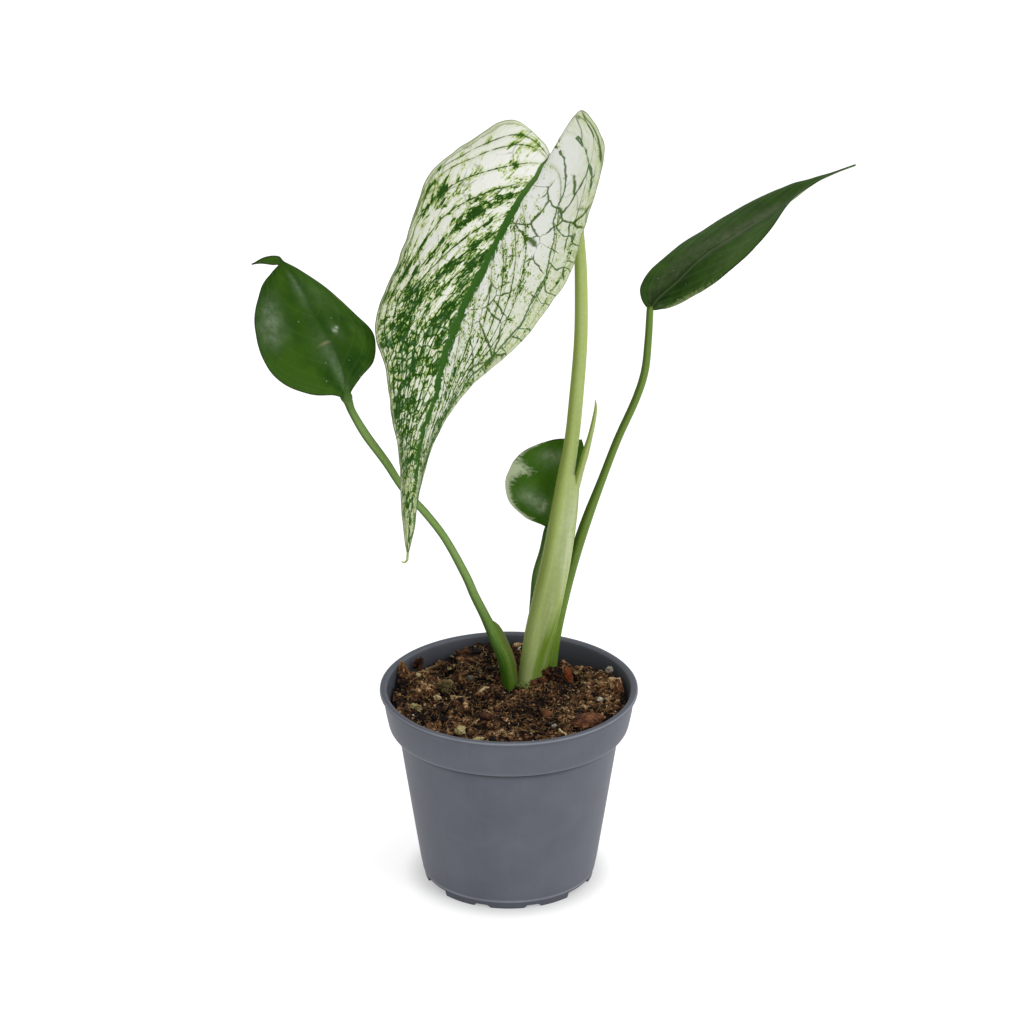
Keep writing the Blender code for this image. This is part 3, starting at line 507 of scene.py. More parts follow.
def green_leaf_finish(name, colours, rib_share=0.3, crease_shadow=0.0, dust=0.5, cream_colour="#BCC6A4"):
    """Young monstera blade: living leaf with a smooth waxy skin. The eye gets deep and fresh green in drifts
    of 4.5 mm, pushed fresher by painted light and deeper by painted shade in soft patches, a grey painted
    sheen where light slides off the wax, faint veins, a thin dark edge with cream brushed over it here and
    there, a painted shadow in the crease beside the midrib, and dried drops and scars. The colours are the
    deep and the fresh green, the painted sheen's and the veins'.
    """
    deep, fresh, painted_sheen_colour, vein_colour = colours
    finish, node = new_finish(name, Specular_IOR_Level=0.07, IOR=1.42)
    names = (
        "rib", "out", "rim", "right", "phase", "spacing", "back", "bloom", "pale", "scar", "sunny", "white",
    )
    mark = {key: node("Attribute", attribute_name=key, out=2) for key in names}
    flat = node("CombineXYZ", mark["rib"], mark["out"])
    mottle = node("TexNoise", flat, Scale=0.22, Detail=3.0, Roughness=0.55)
    fine = node("TexNoise", flat, Scale=1.6, Detail=3.0, Roughness=0.6)
    share = node("MapRange", mottle, 0.3, 0.7, 0.2, 0.8)
    # Painted light in soft patches pushes the green fresher, and painted shade pushes it deeper
    share = node("Math ADD", share, mark["sunny"], use_clamp=True)
    colour = node("Mix RGBA", share, deep, fresh)
    turn = node("Math PINGPONG", mark["phase"], 0.5)
    gap = node("Math MULTIPLY", turn, mark["spacing"])
    line = node("MapRange SMOOTHSTEP", gap, 0.4, 0.05, 0.0, 0.16)
    middle = node("Math ABSOLUTE", mark["out"])
    middle = node("MapRange SMOOTHSTEP", middle, 0.55, 0.15, 0.0, rib_share)
    line = node("Math MAXIMUM", line, middle)
    colour = node("Mix RGBA", line, colour, vein_colour)
    # The midrib lies in a fold, with a painted shadow on its left over about the first 26 mm
    left = node("Math SUBTRACT", 1.0, mark["right"])
    painted_crease_shadow = node("MapRange SMOOTHSTEP", mark["out"], 1.1, 0.1, 0.0, crease_shadow)
    painted_crease_shadow = node("Math MULTIPLY", painted_crease_shadow, left)
    first = node("MapRange", mark["rib"], 34.0, 18.0)
    painted_crease_shadow = node("Math MULTIPLY", painted_crease_shadow, first)
    # Painted sheen in patches of 2 mm, the edge, and cream brushed across the blade in strokes of 0.5 by 1.4
    # mm
    patchy = node("TexNoise", flat, Scale=0.5, Detail=5.0, Roughness=0.7)
    sheen_patches = node("MapRange", patchy, 0.38, 0.62, 0.5, 1.4)
    # Painted sheen: grey where light slides off the wax
    bloom = node("Math MULTIPLY", mark["bloom"], sheen_patches)
    colour = node("Mix RGBA", bloom, colour, painted_sheen_colour)
    colour = node("Mix RGBA", painted_crease_shadow, colour, "#17280B")
    edge = node("MapRange SMOOTHSTEP", mark["rim"], 0.55, 0.2, 0.0, 0.75)
    colour = node("Mix RGBA", edge, colour, "#2C371C")
    brushed = node("VectorMath MULTIPLY", flat, (1.0, 0.35, 1.0))
    brushed = node("TexNoise", brushed, Scale=2.0, Detail=4.0, Roughness=0.7)
    cream = node("Math MULTIPLY_ADD", brushed, 1.6, mark["pale"])
    cream = node("MapRange", cream, 1.05, 1.6, 0.0, 0.85)
    colour = node("Mix RGBA", cream, colour, cream_colour)
    # Dried drops 0.3 mm across, one to about 35 square millimetres
    lone = node("TexVoronoi", flat, Scale=0.27, Randomness=1.0, out=1)
    lone = node("MapRange", node("SeparateXYZ", lone), 0.6, 0.62, 0.0, dust)
    drop = node("TexVoronoi", flat, Scale=0.27, Randomness=1.0)
    drop = node("MapRange", drop, 0.06, 0.02)
    drop = node("Math MULTIPLY", drop, lone)
    drop = node("Math MAXIMUM", drop, mark["white"], use_clamp=True)
    colour = node("Mix RGBA", drop, colour, "#C4CEBB")
    colour = node("Mix RGBA", mark["scar"], colour, "#9A8F6A")
    under = node("Math MULTIPLY", mark["back"], 0.5)
    colour = node("Mix RGBA", under, colour, "#7FA05A")
    rough = node("MapRange", fine, 0.3, 0.7, 0.3, 0.42)
    normal = node("Bump", Strength=0.3, Distance=0.00005, Height=fine)
    return finished(finish, Base_Color=colour, Roughness=rough, Normal=normal)


def stalk_finish(name, colours, streaks, seam=0.0, band=0.0, neck_share=0.0):
    """Monstera petiole: a juicy stem with long fibres under a waxy skin. The eye gets a soft sheen, painted
    shade on its left side and painted light on its right, fine pale streaks that run its whole length, a
    greener strip on the right of its foot with a white band above it, a dry brown edge where a sheath ends,
    and a dark neck under the blade. The colours are the shaded left and the lit right side's, the foot's,
    the strip's and the streaks'.
    """
    left, right, low, strip, streak_colour = colours
    finish, node = new_finish(name, Specular_IOR_Level=0.07, IOR=1.42)
    skin_place = node("Attribute", attribute_name="skin", out=1)
    side, foot, neck = (node("Attribute", attribute_name=key, out=2) for key in ("side", "foot", "neck"))
    # Streaks 0.35 mm across and about 20 mm long
    drawn = node("VectorMath MULTIPLY", skin_place, (2.8, 2.8, 0.05))
    fibre = node("TexNoise", drawn, Scale=1.0, Detail=3.0, Roughness=0.6)
    fine = node("TexNoise", skin_place, Scale=1.2, Detail=2.0)
    # Painted light and shade: the side that faces right is painted lighter and the left side darker
    share = node("MapRange SMOOTHSTEP", side, -0.85, 0.15)
    colour = node("Mix RGBA", share, left, right)
    lower = node("Math MULTIPLY", foot, 1.0, use_clamp=True)
    covered = node("MapRange", share, 0.0, 0.6, 0.55, 1.0)
    covered = node("Math MULTIPLY", covered, lower)
    colour = node("Mix RGBA", covered, colour, low)
    # Green climbs the right side of the foot to about 20 mm above the soil; the white band lies 70 to 93 mm
    # above the ground
    climbing = node("Math MULTIPLY_ADD", lower, 0.8, side)
    waver = node("Math MULTIPLY_ADD", fibre, 0.5, climbing)
    strips = node("MapRange SMOOTHSTEP", waver, 1.05, 1.45)
    begun = node("MapRange", lower, 0.0, 0.3)
    strips = node("Math MULTIPLY", strips, begun)
    white = node("MapRange SMOOTHSTEP", side, -0.1, 0.8, 0.0, band)
    upper = node("MapRange", foot, -1.4, -0.7)
    below = node("MapRange", foot, 0.25, -0.25)
    white = node("Math MULTIPLY", white, upper)
    white = node("Math MULTIPLY", white, below)
    drawn_white = node("MapRange", fibre, 0.3, 0.65, 0.4, 1.1)
    white = node("Math MULTIPLY", white, drawn_white, use_clamp=True)
    colour = node("Mix RGBA", white, colour, "#DEE5CB")
    colour = node("Mix RGBA", strips, colour, strip)
    # Pale streaks, most at the foot and on the right
    most = node("MapRange", foot, -1.0, 0.5, 0.12, streaks)
    light = node("MapRange SMOOTHSTEP", fibre, 0.47, 0.7)
    light = node("Math MULTIPLY", light, most)
    turned_right = node("MapRange", side, -0.4, 0.5, 0.25, 1.0)
    light = node("Math MULTIPLY", light, turned_right)
    colour = node("Mix RGBA", light, colour, streak_colour)
    # A faint mottle, painted shade along the borders where the stalk turns away, the sheath's dry edge and
    # the neck
    dim = node("MapRange", fine, 0.3, 0.7, 0.0, 0.18)
    colour = node("Mix RGBA", dim, colour, left)
    painted_edge_shade = node("Math ABSOLUTE", side)
    painted_edge_shade = node("MapRange", painted_edge_shade, 0.84, 0.99, 0.0, 0.55)
    colour = node("Mix RGBA", painted_edge_shade, colour, left)
    dry = node("MapRange", side, 0.955, 0.99, 0.0, seam)
    dry = node("Math MULTIPLY", dry, lower)
    colour = node("Mix RGBA", dry, colour, "#7C6C4A")
    reached = node("Math MULTIPLY", neck, neck_share)
    colour = node("Mix RGBA", reached, colour, "#2E5016")
    rough = node("MapRange", fibre, 0.3, 0.7, 0.34, 0.48)
    normal = node("Bump", Strength=0.4, Distance=0.00008, Height=fibre)
    return finished(finish, Base_Color=colour, Roughness=rough, Normal=normal)


def pot_finish():
    """Injection-moulded polypropylene, blue-grey, from a lightly etched mould. The eye gets a matte skin
    with a soft sheen, clouded over 11 mm, faint lines round it 0.7 mm apart and upright drag lines 1 mm
    apart, painted highlights along its edges and painted shade where its profile says so.
    """
    finish, node = new_finish("moulded_grey_polypropylene", Specular_IOR_Level=0.12, IOR=1.49)
    place = node("TexCoord", out=3)
    cloud = node("TexNoise", place, Scale=90.0, Detail=4.0, Roughness=0.6)
    etch = node("TexNoise", place, Scale=2600.0, Detail=2.0)  # grain of 0.4 mm
    ringed = node("VectorMath MULTIPLY", place, (60.0, 60.0, 1500.0))
    ring = node("TexNoise", ringed, Scale=1.0, Detail=3.0)
    share = node("MapRange", cloud, 0.3, 0.7)
    colour = node("Mix RGBA", share, "#5A5D66", "#63666F")
    rubbed = node("MapRange", ring, 0.55, 0.8, 0.0, 0.03)
    colour = node("Mix RGBA", rubbed, colour, "#8A8E98")
    drawn = node("VectorMath MULTIPLY", place, (900.0, 900.0, 60.0))
    drag = node("TexNoise", drawn, Scale=1.0, Detail=3.0)
    dragged = node("MapRange", drag, 0.5, 0.75, 0.0, 0.05)
    colour = node("Mix RGBA", dragged, colour, "#777B86")
    edge, painted_shade = (node("Attribute", attribute_name=key, out=2) for key in ("edge", "painted_shade"))
    # Painted highlights along the edges, a little uneven with the clouding
    edge_highlight = node("MapRange", cloud, 0.3, 0.7, 0.55, 0.95)
    edge_highlight = node("Math MULTIPLY", edge, edge_highlight)
    colour = node("Mix RGBA", edge_highlight, colour, "#9A9EA8")
    # Painted shade, as the pot's profile marks it ring by ring
    colour = node("Mix RGBA", painted_shade, colour, "#24262C")
    rough = node("MapRange", cloud, 0.3, 0.7, 0.4, 0.52)
    height = node("Math MULTIPLY_ADD", drag, 0.4, etch)
    normal = node("Bump", Strength=0.25, Distance=0.00004, Height=height)
    return finished(finish, Base_Color=colour, Roughness=rough, Normal=normal)


def earth_finish(name, stops, scale, roughness=0.95):
    """Potting soil and what is in it: peat, coir, bark or puffed volcanic glass, dry on top. The eye gets a
    dull crumbling surface, mottled in the colours given, with grains a sixth the size of the mottles and
    dark between them. The scale is the number of mottles to a metre.
    """
    finish, node = new_finish(name, Roughness=roughness, Specular_IOR_Level=0.25)
    place = node("TexCoord", out=3)
    tone = node("Attribute", attribute_name="tone", out=2)
    broad = node("TexNoise", place, Scale=scale, Detail=5.0, Roughness=0.65)
    grit = node("TexNoise", place, Scale=6.0 * scale, Detail=3.0, Roughness=0.6)
    mixed = node("Math MULTIPLY_ADD", broad, 0.55, tone)
    mixed = node("Math MULTIPLY_ADD", grit, 0.65, mixed)
    share = node("MapRange", mixed, 0.35, 0.85)
    colour = node("ValToRGB", share, stops=stops)
    normal = node("Bump", Strength=0.8, Distance=0.0003, Height=grit)
    return finished(finish, Base_Color=colour, Normal=normal)


# ---------------------------------------------------------------- leaves

def even_stations(tables, count, ends):
    """Stations between the ends, closer where any of the curves runs fast, so that cells stay even."""
    t = np.linspace(*ends, 4000)
    step = np.max([np.linalg.norm(np.diff(along(rows, t), axis=0), axis=1) for rows in tables], axis=0)
    length = np.concatenate([[0.0], np.cumsum(step + 0.02)])
    return np.interp(np.linspace(0, length[-1], count), length, t)


def blade_half(midrib, margin, face, bow, t, r, ruffle):
    """M + (E - M) r + F 4 b |E - M| r (1 - r) + w r^4: M on the midrib, E on the margin, F the way the blade
    faces, b its bow, r from 0 at the midrib to 1 at the margin, and w a seeded wave of the margin, 2.6 mm
    long in the blade and 4 mm long across it, that dies out towards both ends.
    """
    middle = along(midrib, t)[:, None]
    edge = along(margin, t)[:, None]
    span = edge - middle
    share = r[None, :, None]
    swell = 4 * bow * np.linalg.norm(span, axis=-1, keepdims=True) * share * (1 - share)
    fade = (ruffle * np.clip(12 * t * (1 - t), 0, 1))[:, None, None]
    sideways = 0.6 * unit(span) * noise(edge, 2.6, 41)[..., None]
    wave = sideways + np.array(face) * noise(edge, 4.0, 42)[..., None]
    return middle + span * share + np.array(face) * swell + fade * wave * share**4


def slope(points, t, r, value):
    """How fast a value changes per millimetre of the surface:
    ((g a^2 - 2 f a b + e b^2) / (e g - f^2))^(1/2), with a and b its changes along t and r and e, f and g
    the surface's first fundamental form.
    """
    by_t, by_r = (np.gradient(points, s, axis=k) for k, s in enumerate((t, r)))
    e = np.einsum("ijk,ijk->ij", by_t, by_t)
    f = np.einsum("ijk,ijk->ij", by_t, by_r)
    g = np.einsum("ijk,ijk->ij", by_r, by_r)
    area = np.maximum(e * g - f * f, 1e-3)
    change_t, change_r = (np.gradient(value, s, axis=k) for k, s in enumerate((t, r)))
    return np.sqrt((g * change_t**2 - 2 * f * change_t * change_r + e * change_r**2) / area)


def large_births(t, r, right):
    """Where on the midrib, as t, the side vein through (t, r) is born. Left: t - a r + c ln(1 - r). Right:
    t + c ln(1 - r). The veins leave steeply and sweep along the margin towards the tip.
    """
    hang = np.log(np.maximum(1 - r, 0.004))
    if right:
        return t + np.interp(t, [0, 0.2, 0.35, 1], [0.12, 0.14, 0.17, 0.2]) * hang
    lean = np.interp(t, [0, 0.25, 0.38, 0.5, 0.65, 1], [0.1, 0.11, 0.0, 0.03, 0.2, 0.3])
    return t - lean * r + np.interp(t, [0, 0.1, 0.3, 0.5, 1], [0.02, 0.03, 0.06, 0.075, 0.1]) * hang


LARGE_VEINS_LEFT = [
    0.05, 0.1, 0.2, 0.3, 0.355, 0.392, 0.43, 0.468, 0.506, 0.545, 0.585, 0.625, 0.67, 0.715, 0.76, 0.81,
    0.86, 0.91,
]
LARGE_VEINS_RIGHT = [0.04, 0.21, 0.365, 0.4, 0.44, 0.48, 0.53, 0.58, 0.64, 0.72]
# Width of the dark band on the midrib, in mm to its left and right
BAND_T = [0.0, 0.2, 0.3, 0.4, 0.45, 0.5, 0.55, 0.6, 0.65, 0.7, 0.76, 0.85, 1.0]
BAND_LEFT = [0.2, 0.45, 0.8, 1.1, 1.25, 1.4, 1.5, 1.5, 1.4, 1.1, 0.8, 0.3, 0.1]
BAND_RIGHT = [0.2, 0.35, 0.6, 0.9, 1.0, 1.1, 1.1, 1.05, 0.95, 0.8, 0.8, 0.5, 0.1]
# How green each half is from stalk to tip, on average
COVER_T = [0.0, 0.3, 0.4, 0.5, 0.6, 0.7, 0.8, 1.0]
COVER_LEFT = [0.08, 0.13, 0.2, 0.28, 0.35, 0.38, 0.36, 0.3]
COVER_RIGHT = [-0.1, -0.05, 0.03, 0.09, 0.15, 0.22, 0.3, 0.28]
# The veins that run round the right half some way in from its margin, as r over t
RING_T = [0.2, 0.244, 0.29, 0.33, 0.37, 0.4, 0.435, 0.46, 0.52, 0.6, 0.7, 0.8]
RING_R = [0.28, 0.34, 0.46, 0.56, 0.59, 0.64, 0.66, 0.73, 0.78, 0.84, 0.86, 0.82]
SECOND_T = [0.174, 0.242, 0.28, 0.304, 0.336]
SECOND_R = [0.62, 0.73, 0.86, 0.89, 0.94]
RING_START = 0.18
# Green and white patches: t, r, half length along the veins and half width across them in mm, amount
PATCHES_LEFT = [
    (0.56, 0.14, 4, 2.4, 0.4), (0.5, 0.16, 3, 1.6, 0.28), (0.61, 0.16, 4, 1.6, 0.3),
    (0.326, 0.81, 6, 4, 0.12), (0.359, 0.16, 3, 1.0, 0.35), (0.364, 0.32, 4, 1.0, 0.15),
    (0.397, 0.52, 8, 1.0, 0.16), (0.482, 0.35, 5, 1.4, 0.3), (0.511, 0.59, 6, 1.6, 0.2),
    (0.558, 0.72, 6, 4, 0.15), (0.593, 0.34, 5, 3, 0.3), (0.616, 0.6, 6, 4, 0.22),
    (0.487, 0.07, 2, 1.5, 0.4), (0.738, 0.69, 4, 5, -0.12), (0.888, 0.28, 2, 3, 0.1),
    (0.447, 0.42, 5, 1.6, -0.35), (0.436, 0.72, 5, 2, -0.25), (0.541, 0.32, 4, 1.6, -0.35),
    (0.252, 0.65, 9, 4, -0.2), (0.81, 0.72, 3, 3, -0.2),
]
PATCHES_RIGHT = [
    (0.356, 0.33, 4, 3, 0.1), (0.481, 0.24, 4, 3, 0.18), (0.599, 0.38, 3, 3, 0.25),
    (0.651, 0.4, 3, 3, 0.25), (0.506, 0.54, 3, 3, 0.25), (0.634, 0.74, 3, 4, 0.2), (0.73, 0.6, 3, 4, 0.2),
    (0.417, 0.48, 4, 2.5, -0.25), (0.553, 0.57, 4, 2, -0.3), (0.424, 0.39, 2.5, 2.5, -0.45),
    (0.347, 0.59, 3, 3, -0.25), (0.255, 0.63, 4, 3, -0.25),
]


def large_marks(t, r, right, out, rib):
    """The marks of one half of the large leaf. A vein's phase is its number, and a place on it is
    (out^2 + (rib - rib at its birth)^2)^(1/2) from its birth. The cover is how green the half is at t, plus
    a exp(-(u / length)^2 - (v / width)^2) for each patch, u along the veins and v across them. Then come the
    midrib band's width less the way out, how strong the veins, their net and the yellow tint are, whether
    the place is low on the blade, and inner: mm from the nearest vein that runs round inside the margin.
    """
    births = large_births(t[:, None], r[None], right)
    birth = np.interp(births, t, rib) + RUN_BEFORE_START * np.minimum(births - t[0], 0)
    run = np.hypot(out, rib[:, None] - birth)
    t, r = t[:, None], r[None, :]
    veins = LARGE_VEINS_RIGHT if right else LARGE_VEINS_LEFT
    before = [2 * veins[0] - veins[1] - 0.3, *veins, 1.3]
    phase = np.interp(births, before, np.arange(len(before)) - 1.0)
    cover = np.interp(t, COVER_T, COVER_RIGHT if right else COVER_LEFT) + 0.0 * r
    for a, b, length, width, amount in PATCHES_RIGHT if right else PATCHES_LEFT:
        spot = np.abs(t[:, 0] - a).argmin(), np.abs(r[0] - b).argmin()
        away = ((run - run[spot]) / length) ** 2 + ((birth - birth[spot]) / width) ** 2
        cover += amount * np.exp(-away)
    band = np.interp(t, BAND_T, BAND_RIGHT if right else BAND_LEFT) - out
    band *= np.interp(t, [0.36, 0.46], [6.0, 1.0])
    strength = np.interp(r, [0, 0.12, 0.3, 0.85, 1], [0.25, 0.45, 0.8, 0.8, 0.4]) + 0.0 * t
    strength = strength * (0.8 if right else 0.9) * np.interp(t, [0.75, 0.95], [1.0, 0.15])
    strength *= np.interp(phase, [-1, -0.4, 0, 1.4, 2], [0.0, 0.0, 0.75, 0.75, 1.0])
    if right:
        strength = strength * np.interp(t, [0.18, 0.36], [0.2, 1.0])
    net = np.interp(t, [0.0, 0.6, 0.8, 1.0], [1.0, 1.0, 0.5, 0.2]) * (1.0 if right else 0.35) + 0.0 * r
    tint = np.interp(r, [0, 0.5, 0.8, 1], [0.0, 0.1, 0.6, 1.0] if right else [0.05, 0.1, 0.3, 0.7]) + 0.0 * t
    tint = np.maximum(tint, np.interp(t, [0.6, 0.72, 0.84, 1.0], [0.0, 0.3, 1.0, 1.4]))
    low = np.interp(t, [0.46, 0.6], [0.0, 1.0]) + 0.0 * r
    span = out[:, -1:]
    inner = (r - (np.interp(t, RING_T, RING_R) if right else 1 - 1.3 / np.maximum(span, 2.0))) * span
    # Where the second of them is absent it counts as 30 mm further off, and a place before the first one
    # starts counts as 9 mm inside it
    absent = (t > SECOND_T[-1]) | (t < SECOND_T[0])
    second = np.abs(r - np.interp(t, SECOND_T, SECOND_R)) * span + 30 * absent
    inner = np.where(right & (second < np.abs(inner)), second, inner)
    inner = np.where(right & (t < RING_START), -9.0, inner)
    # A third, finer one runs 1.7 mm inside the margin of the lobe beside the stalk
    third = np.abs((1 - r) * span - 1.7) + 0.15
    inner = np.where(right & (t > 0.1) & (t < 0.4) & (third < np.abs(inner)), third, inner)
    return {
        "low": low, "phase": phase, "birth": birth, "run": run, "cover": cover, "band": band,
        "vein": strength, "net": net, "tint": tint, "inner": inner,
    }


def plain_marks(glow):
    """Marks of a green leaf: 11 (t + 0.16 ln(1.04 - r)) as the phase of faint side veins, and soft patches
    a exp(-((t - t0) / long)^2 - ((r - r0) / wide)^2), given as t0, signed r0, long, wide, a and the mark
    they belong to.
    """
    def marks(t, r, right, out, rib):
        t, r = t[:, None], r[None, :]
        births = t + 0.16 * np.log(np.maximum(1.04 - r, 0.02)) + 0.0 * out
        found = {"phase": 11 * births}
        found |= {name: np.zeros_like(out) for name in ("bloom", "pale", "scar", "sunny", "white")}
        for a, b, long, wide, amount, name in glow:
            signed = r if right else -r
            found[name] = found[name] + amount * np.exp(-(((t - a) / long) ** 2) - ((signed - b) / wide) ** 2)
        return found
    return marks


def leaf(name, node, curves, face, bow, size, marks_of, relief, finish, ruffle=0.15):
    """A closed blade: front and back are the blade surface moved along its normal by half the thickness
    h (1 - r^8)^(1/2). On the front the side veins lie in grooves g exp(-(d / 0.35 mm)^2) deep and the midrib
    in one c exp(-(d / 0.75 mm)^2) deep, and the skin swells between them by s (min(d / 1.6 mm, 1)^0.7 - 1/2).
    On the back the veins stand out as much and the midrib 1.3 times as much. The relief is g, s, c and h.
    """
    stations, across = size
    groove, swell, crease, half_thickness = relief
    t = even_stations(curves, stations, BLADE_ENDS)
    rib = np.concatenate([[0], np.cumsum(np.linalg.norm(np.diff(along(curves[0], t), axis=0), axis=1))])
    r = np.sin(np.linspace(0, 1, across + 1) * math.pi / 2 * CROWDING) / math.sin(math.pi / 2 * CROWDING)
    halves = []
    for right, margin in ((False, curves[1]), (True, curves[2])):
        points = blade_half(curves[0], margin, face, bow, t, r, ruffle)
        span = np.linalg.norm(points[:, -1] - points[:, 0], axis=1)
        grid_r = r + 0.0 * t[:, None]
        out = grid_r * span[:, None]
        marks = marks_of(t, r, right, out, rib)
        marks["spacing"] = np.clip(1 / np.maximum(slope(points, t, r, marks["phase"]), 0.02), 0.2, 30)
        marks["rim"] = (1 - grid_r) / np.maximum(slope(points, t, r, grid_r), 1e-3)
        marks["out"] = out
        marks["right"] = np.full_like(out, float(right))
        marks["r"] = grid_r
        halves.append((points, marks))
    front = np.concatenate([halves[0][0][:, :0:-1], halves[1][0]], axis=1)
    marks = {k: np.concatenate([halves[0][1][k][:, :0:-1], halves[1][1][k]], axis=1) for k in halves[0][1]}
    marks["rib"] = rib[:, None] + 0.0 * marks["out"]
    signed = np.concatenate([-r[:0:-1], r])
    normal = unit(np.cross(np.gradient(front, signed, axis=1), np.gradient(front, t, axis=0)))
    normal *= np.sign((normal @ np.array(face)).mean())
    thick = half_thickness * np.sqrt(np.clip(1 - marks["r"] ** 8, 0, 1))
    off = np.abs(marks["phase"] - np.round(marks["phase"])) * marks["spacing"]
    fade = (1 - marks["r"] ** 6) * np.clip(marks["rib"] / 3, 0, 1)
    line = np.exp(-((off / VEIN_REACH) ** 2)) * fade
    rise = swell * (np.clip(off / SWELL_REACH, 0, 1) ** 0.7 - 0.5) * fade * np.clip(marks["out"] / 2, 0, 1)
    keel = np.exp(-((marks["out"] / RIB_REACH) ** 2)) * np.clip(1.1 - t[:, None], 0.1, 1)
    upper = front + normal * (thick - groove * line + rise - crease * keel)[..., None]
    lower = front - normal * (thick + groove * line - rise + 1.3 * crease * keel)[..., None]
    rings = np.concatenate([upper, lower[:, -2:0:-1]], axis=1)
    count = upper.shape[1]
    marks = {k: np.concatenate([v, v[:, -2:0:-1]], axis=1) for k, v in marks.items() if k != "r"}
    marks["back"] = (np.arange(rings.shape[1]) >= count) + 0.0 * marks["out"]
    start, end = along(curves[0], [0.0, 1.0])
    points, faces = skin(rings, start, end)
    flat_marks = {k: np.concatenate([v.ravel(), v[0, :1], v[-1, :1]]) for k, v in marks.items()}
    return make_piece(name, (points, faces, flat_marks), finish, [node], sharp=80.0)


# ---------------------------------------------------------------- stalks

def tube(rows, count, sides, seed, ribs=0.02, tip=0.4, flat_end=0.0):
    """A stalk: circles round a smooth path, radius R (1 + k s / 2), where s is the sum of sin(n a + p + q l)
    over n = 5, 8 and 13, with angle a, length l and seeded p and q. Towards its end its depth shrinks by
    flat_end exp(-(left / 4 mm)^2), where it runs on as the midrib. The marks are the place on the skin, the
    cosine of the angle, which is how far to the right it faces, how low it is, and how near its end.
    """
    t = np.linspace(0, 1, count)
    path = along(rows, t)
    centre, radius = path[:, :3], np.maximum(path[:, 3], 0.05)
    ahead = unit(np.gradient(centre, axis=0))
    across = unit(np.array([1.0, 0, 0]) - ahead * ahead[:, :1])
    back = np.cross(ahead, across)
    length = np.concatenate([[0], np.cumsum(np.linalg.norm(np.diff(centre, axis=0), axis=1))])
    angle = np.linspace(0, math.tau, sides, endpoint=False)[None]
    draw = np.random.default_rng(seed)
    ripple = 0.0
    for k in (5, 8, 13):
        shift = draw.uniform(0, 6)
        ripple = ripple + np.sin(k * angle + shift + length[:, None] * draw.uniform(-0.04, 0.04))
    size = radius[:, None] * (1 + ribs * ripple / 2)
    near_end = np.exp(-((length[-1] - length[:, None] + 0.0 * angle) / NECK_REACH) ** 2)
    x, y = size * np.cos(angle), size * np.sin(angle) * (1 - flat_end * near_end)
    rings = centre[:, None] + x[..., None] * across[:, None] + y[..., None] * back[:, None]
    skin_place = np.stack([x, y, length[:, None] + 0.0 * x], -1)
    side = np.cos(angle) + 0.0 * x
    start, end = centre[0] - ahead[0] * radius[0] * tip, centre[-1] + ahead[-1] * radius[-1] * tip
    points, faces = skin(rings, start, end)
    skin_place = np.vstack([skin_place.reshape(-1, 3), [0, 0, 0], [0, 0, length[-1]]])
    side = np.append(side.ravel(), [0, 0])
    foot = np.clip((FOOT_TOP - points[:, 2]) / FOOT_REACH, -2, 1)
    neck = np.append(np.cbrt(near_end).ravel(), [0, 1])
    return points, faces, {"skin": skin_place, "side": side, "foot": foot, "neck": neck}


def sheathed(rows, sheath_rows, count, sides, seed, flat_end=0.0):
    """A stalk that its sheath wraps: a tube whose rings reach out to the sheath's circle beside them. Along
    each direction the reach is the larger of the stalk's radius and the ray's way out of the sheath's
    circle, d cos(u) + (R^2 - d^2 sin(u)^2)^(1/2), smoothed round the ring so that no cleft is left.
    """
    points, faces, marks = tube(rows, count, sides, seed, flat_end=flat_end)
    path = along(rows, np.linspace(0, 1, count))
    wrap = along(sheath_rows, np.linspace(0, 1, 400))
    level = path[:, 2]
    order = np.argsort(wrap[:, 2])
    at = [np.interp(level, wrap[order, 2], wrap[order, k]) for k in (0, 1, 3)]
    fade = np.clip((wrap[-1, 2] - level) / 3.0, 0, 1) ** 0.5
    ring = points[:-2].reshape(count, sides, 3) - path[:, None, :3]
    length = np.linalg.norm(ring, axis=-1)
    offset = np.stack([at[0] - path[:, 0], at[1] - path[:, 1]], -1)
    along_ray = ring[..., 0] * offset[:, None, 0] + ring[..., 1] * offset[:, None, 1]
    along_ray = along_ray / np.maximum(length, 1e-6)
    aside = (offset**2).sum(1)[:, None] - along_ray**2
    way = along_ray + np.sqrt(np.maximum((at[2] * fade)[:, None] ** 2 - aside, 0))
    way = np.where((aside < (at[2] * fade)[:, None] ** 2) & (along_ray > 0), way, 0)
    reach = np.maximum(length, way)
    for _ in range(4):
        reach = np.maximum(reach, (np.roll(reach, 1, 1) + np.roll(reach, -1, 1)) / 2)
    for _ in range(2):
        reach = 0.5 * reach + 0.25 * (np.roll(reach, 1, 1) + np.roll(reach, -1, 1))
    ring = path[:, None, :3] + ring * (reach / length)[..., None]
    points[:-2] = ring.reshape(-1, 3)
    return points, faces, marks


def joined(parts):
    """Several skins as one: points, faces and marks in a row."""
    points, faces, marks, shift = [], [], [], 0
    for part_points, part_faces, part_marks in parts:
        if volume(part_points, part_faces) < 0:
            part_faces = [group[:, ::-1] for group in part_faces]
        points.append(part_points)
        faces += [group + shift for group in part_faces]
        marks.append(part_marks)
        shift += len(part_points)
    return np.vstack(points), faces, {k: np.concatenate([m[k] for m in marks]) for k in marks[0]}


# ---------------------------------------------------------------- pot and soil

